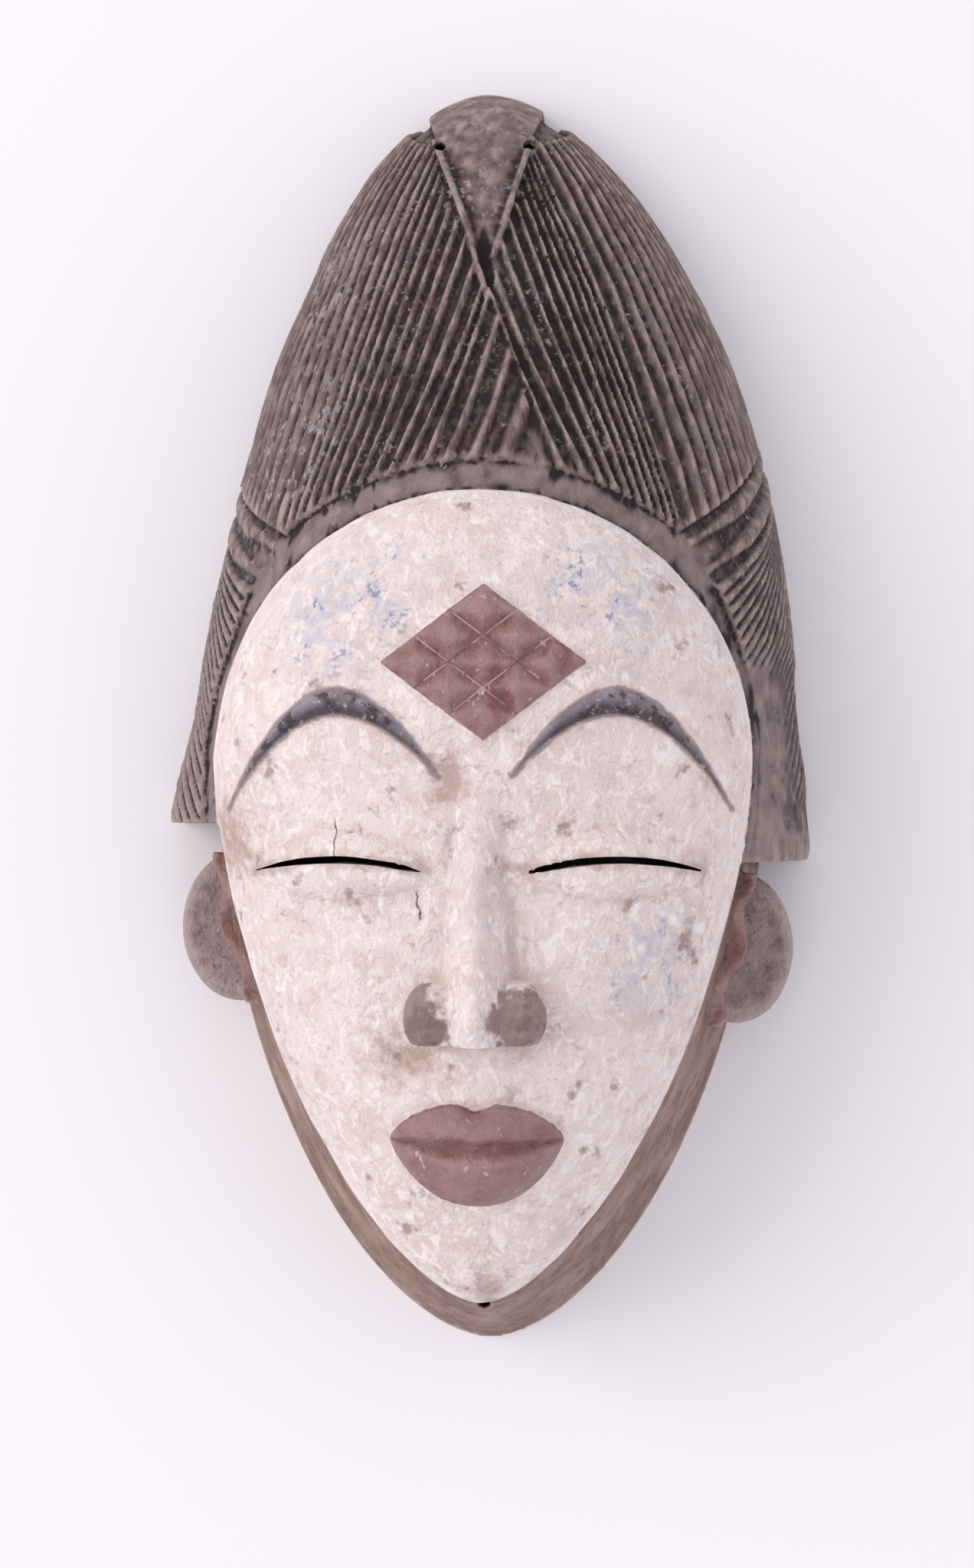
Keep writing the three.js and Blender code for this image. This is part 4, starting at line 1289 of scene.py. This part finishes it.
def ochre_paint(surface, lay, patches, where):
    """Red-brown ochre on the lips and the brow ornament: smooth, waxy, dusty in its cuts."""
    lip = surface.painted("lip", 0.2, 0.15, 2)
    lozenge = surface.painted("lozenge", 0.2, 0.1, 2)
    surface.within = [add(surface.tree, "Math", {0: lip, 1: lozenge}, operation="MAXIMUM")]
    lay("#86605c", rough=0.5)
    lay("#94736f", patches(5, 0.45, 0.65))
    lay("#7a4a4a", patches(9, 0.5, 0.62))
    # Painted highlight: proud parts of the ochre laid paler and glossier.
    lay("#a58986", where("fine", 0.02, 0.14, 0.6), rough=0.45)
    # Painted shade: creases in the ochre laid darker.
    lay("#644543", where("fine", -0.02, -0.14))
    lay("#c0a5a1", patches(1.3, 0.66, 0.73, stretch=(0.6, 0.3, 1)))
    surface.within = [lozenge, cell_cuts(surface)]
    lay("#694848")
    lay("#b2938f", patches(6, 0.44, 0.54))


def cell_cuts(surface):
    """The thin cuts between the ornament's nine cells, one cell to a unit."""
    fit = LOZENGE_CELLS / 2 * math.sqrt(2)
    scale = (fit / (LOZENGE_HALF_WIDTH * MM), fit / (LOZENGE_HALF_HEIGHT * MM), 1)
    across = LOZENGE_CENTRE[0] / LOZENGE_HALF_WIDTH
    up = LOZENGE_CENTRE[1] / LOZENGE_HALF_HEIGHT
    middle = LOZENGE_CELLS / 2
    shift = (middle - middle * (across + up), middle - middle * (up - across), 0.5)
    fitted = {"Vector": surface.place, "Scale": scale, "Rotation": (0, 0, -math.pi / 4)}
    fitted["Location"] = shift
    cells = add(surface.tree, "Mapping", fitted)
    cuts = {"Vector": cells, "Scale": 1, "Mortar Size": 0.022, "Mortar Smooth": 0.3}
    cuts.update({"Brick Width": 1, "Row Height": 1})
    return add(surface.tree, "TexBrick", cuts, output="Fac", offset=0, squash=1)


def inner_wood(surface, lay, patches, where):
    """The hollow back is raw wood, hewn with a gouge and darkened by handling."""
    surface.within = [where("inside", -0.2, 0.2)]
    lay("#806350", rough=0.8)
    lay("#6a4f3f", patches(4, 0.4, 0.62, stretch=(1, 0.14, 1)))
    lay("#5f4739", patches(24, 0.45, 0.65, 0.7))
    # Painted highlight: proud gouge ridges laid paler.
    lay("#a1846c", where("fine", 0.04, 0.3))


def cracks(surface):
    """Thin drying cracks, which wander a little about the grain."""
    tree = surface.tree
    parts = add(tree, "SeparateXYZ", {0: surface.place}, output="X").node
    wander = surface.patches(5, 0.3, 0.7, 0.9 * MM, -0.9 * MM)
    grain = add(tree, "Math", {0: parts.outputs["X"], 1: wander}, operation="ADD")
    whole = 0
    for x, low, high in CRACKS:
        half = (high - low) / 2
        limits = [(grain, x, CRACK_WIDTH, CRACK_WIDTH / 3)]
        limits.append((parts.outputs["Y"], low + half, half, half * 0.7))
        shares = []
        for place, middle, none_at, all_at in limits:
            away = add(tree, "Math", {0: place, 1: middle * MM}, operation="SUBTRACT")
            away = add(tree, "Math", {0: away}, operation="ABSOLUTE")
            kept = {0: away, 1: none_at * MM, 2: all_at * MM, 3: 0, 4: 1}
            shares.append(add(tree, "MapRange", kept))
        whole = add(tree, "Math", {0: whole, 1: surface.share_of(shares)}, operation="MAXIMUM")
    whole = surface.share_of([whole, surface.where("inside", 0, -1)])
    surface.within = []
    surface.lay("#75645c", whole, rough=0.9)
    return whole


def crust(surface, crack):
    """The surface's own roughness: brushed clay on the face, open grain in the wood, and the cracks."""
    tree = surface.tree
    strokes = surface.patches(2.2, 0.3, 0.75, stretch=(1, 0.7, 1), twist=1.3)
    dabs = surface.patches(6, 0.3, 0.7, 1.2)
    pores = surface.patches(0.8, 0.35, 0.75, 0.35)
    height = add(tree, "Math", {0: strokes, 1: dabs}, operation="ADD")
    height = add(tree, "Math", {0: height, 1: pores}, operation="ADD")
    deep = add(tree, "Math", {0: crack, 1: 2}, operation="MULTIPLY")
    height = add(tree, "Math", {0: height, 1: deep}, operation="SUBTRACT")
    return add(tree, "Bump", {"Strength": 0.7, "Distance": 0.4 * MM, "Height": height})


def carved_mask_finish():
    """Painted and stained carved wood, worn matt."""
    material = bpy.data.materials.new("painted carved wood")
    material.use_nodes = True
    tree = material.node_tree
    tree.nodes.clear()
    surface = Surface(tree)
    for layer in (bare_wood, stained_hair, smoked_ears, kaolin_paint, soot_brows, ochre_paint, inner_wood):
        layer(surface, surface.lay, surface.patches, surface.where)
    skin = {"Normal": crust(surface, cracks(surface)), "Specular IOR Level": 0.35}
    skin.update({"Base Color": surface.color, "Roughness": surface.rough})
    add(tree, "OutputMaterial", {"Surface": add(tree, "BsdfPrincipled", skin)})
    return material


# Camera, light and floor

def aimed(data, place, target):
    """A camera or light at a place, facing a target, with the mask's crown towards the top."""
    item = bpy.data.objects.new(data.name, data)
    back = (place - target).normalized()
    side = Vector((0, 1, 0)).cross(back).normalized()
    turn = Matrix((side, back.cross(side), back)).transposed()
    item.matrix_world = Matrix.Translation(place) @ turn.to_4x4()
    bpy.context.scene.collection.objects.link(item)
    return item


def set_camera():
    data = bpy.data.cameras.new("camera")
    data.lens = LENS
    data.sensor_width = SENSOR_WIDTH
    way = Vector((math.sin(CAMERA_YAW), 0, math.cos(CAMERA_YAW)))
    bpy.context.scene.camera = aimed(data, CAMERA_TARGET + way * CAMERA_DISTANCE, CAMERA_TARGET)


def set_light():
    """A broad soft window light from the left and a bright room all round."""
    scene = bpy.context.scene
    scene.view_settings.view_transform = "Standard"
    world = bpy.data.worlds.new("bright room")
    world.use_nodes = True
    backdrop = world.node_tree.nodes["Background"]
    backdrop.inputs["Color"].default_value = linear("#f7f4fb")
    backdrop.inputs["Strength"].default_value = ROOM_LIGHT
    scene.world = world
    window = bpy.data.lights.new("window", "AREA")
    window.shape = "DISK"
    window.size = WINDOW_SIZE
    window.energy = WINDOW_POWER
    window.color = linear("#fffaf6")[:3]
    aimed(window, WINDOW_PLACE, Vector((0, 0, COIFFURE_DEPTH / 2 * MM)))


def set_floor():
    bm = bmesh.new()
    bmesh.ops.create_grid(bm, x_segments=2, y_segments=2, size=FLOOR_SIZE / 2)
    floor = solid("floor", bm)
    material = bpy.data.materials.new("matt white board")
    material.use_nodes = True
    shader = material.node_tree.nodes["Principled BSDF"]
    shader.inputs["Base Color"].default_value = linear("#f2eff2")
    shader.inputs["Roughness"].default_value = 0.9
    floor.data.materials.append(material)


def carve_mask():
    mask = mask_solid()
    mask.name = "carved_mask"
    modified(mask, "REMESH", mode="VOXEL", voxel_size=VOXEL)
    combined(mask, [slit_solid(name) for name in SIDES], "DIFFERENCE")
    worn(mask.data)
    modified(mask, "DECIMATE", ratio=MOST_TRIANGLES / (2 * len(mask.data.polygons)))
    softened(mask.data)
    mark_finishes(mask.data)
    mask.data.materials.clear()
    mask.data.materials.append(carved_mask_finish())
    mask.data.transform(Matrix.Scale(MM, 4))
    mask.data.shade_smooth()
    mask.data.set_sharp_from_angle(angle=SHARP_ANGLE)
    return mask


set_camera()
set_light()
set_floor()
mask = carve_mask()
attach(mask, "root")
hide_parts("mask")
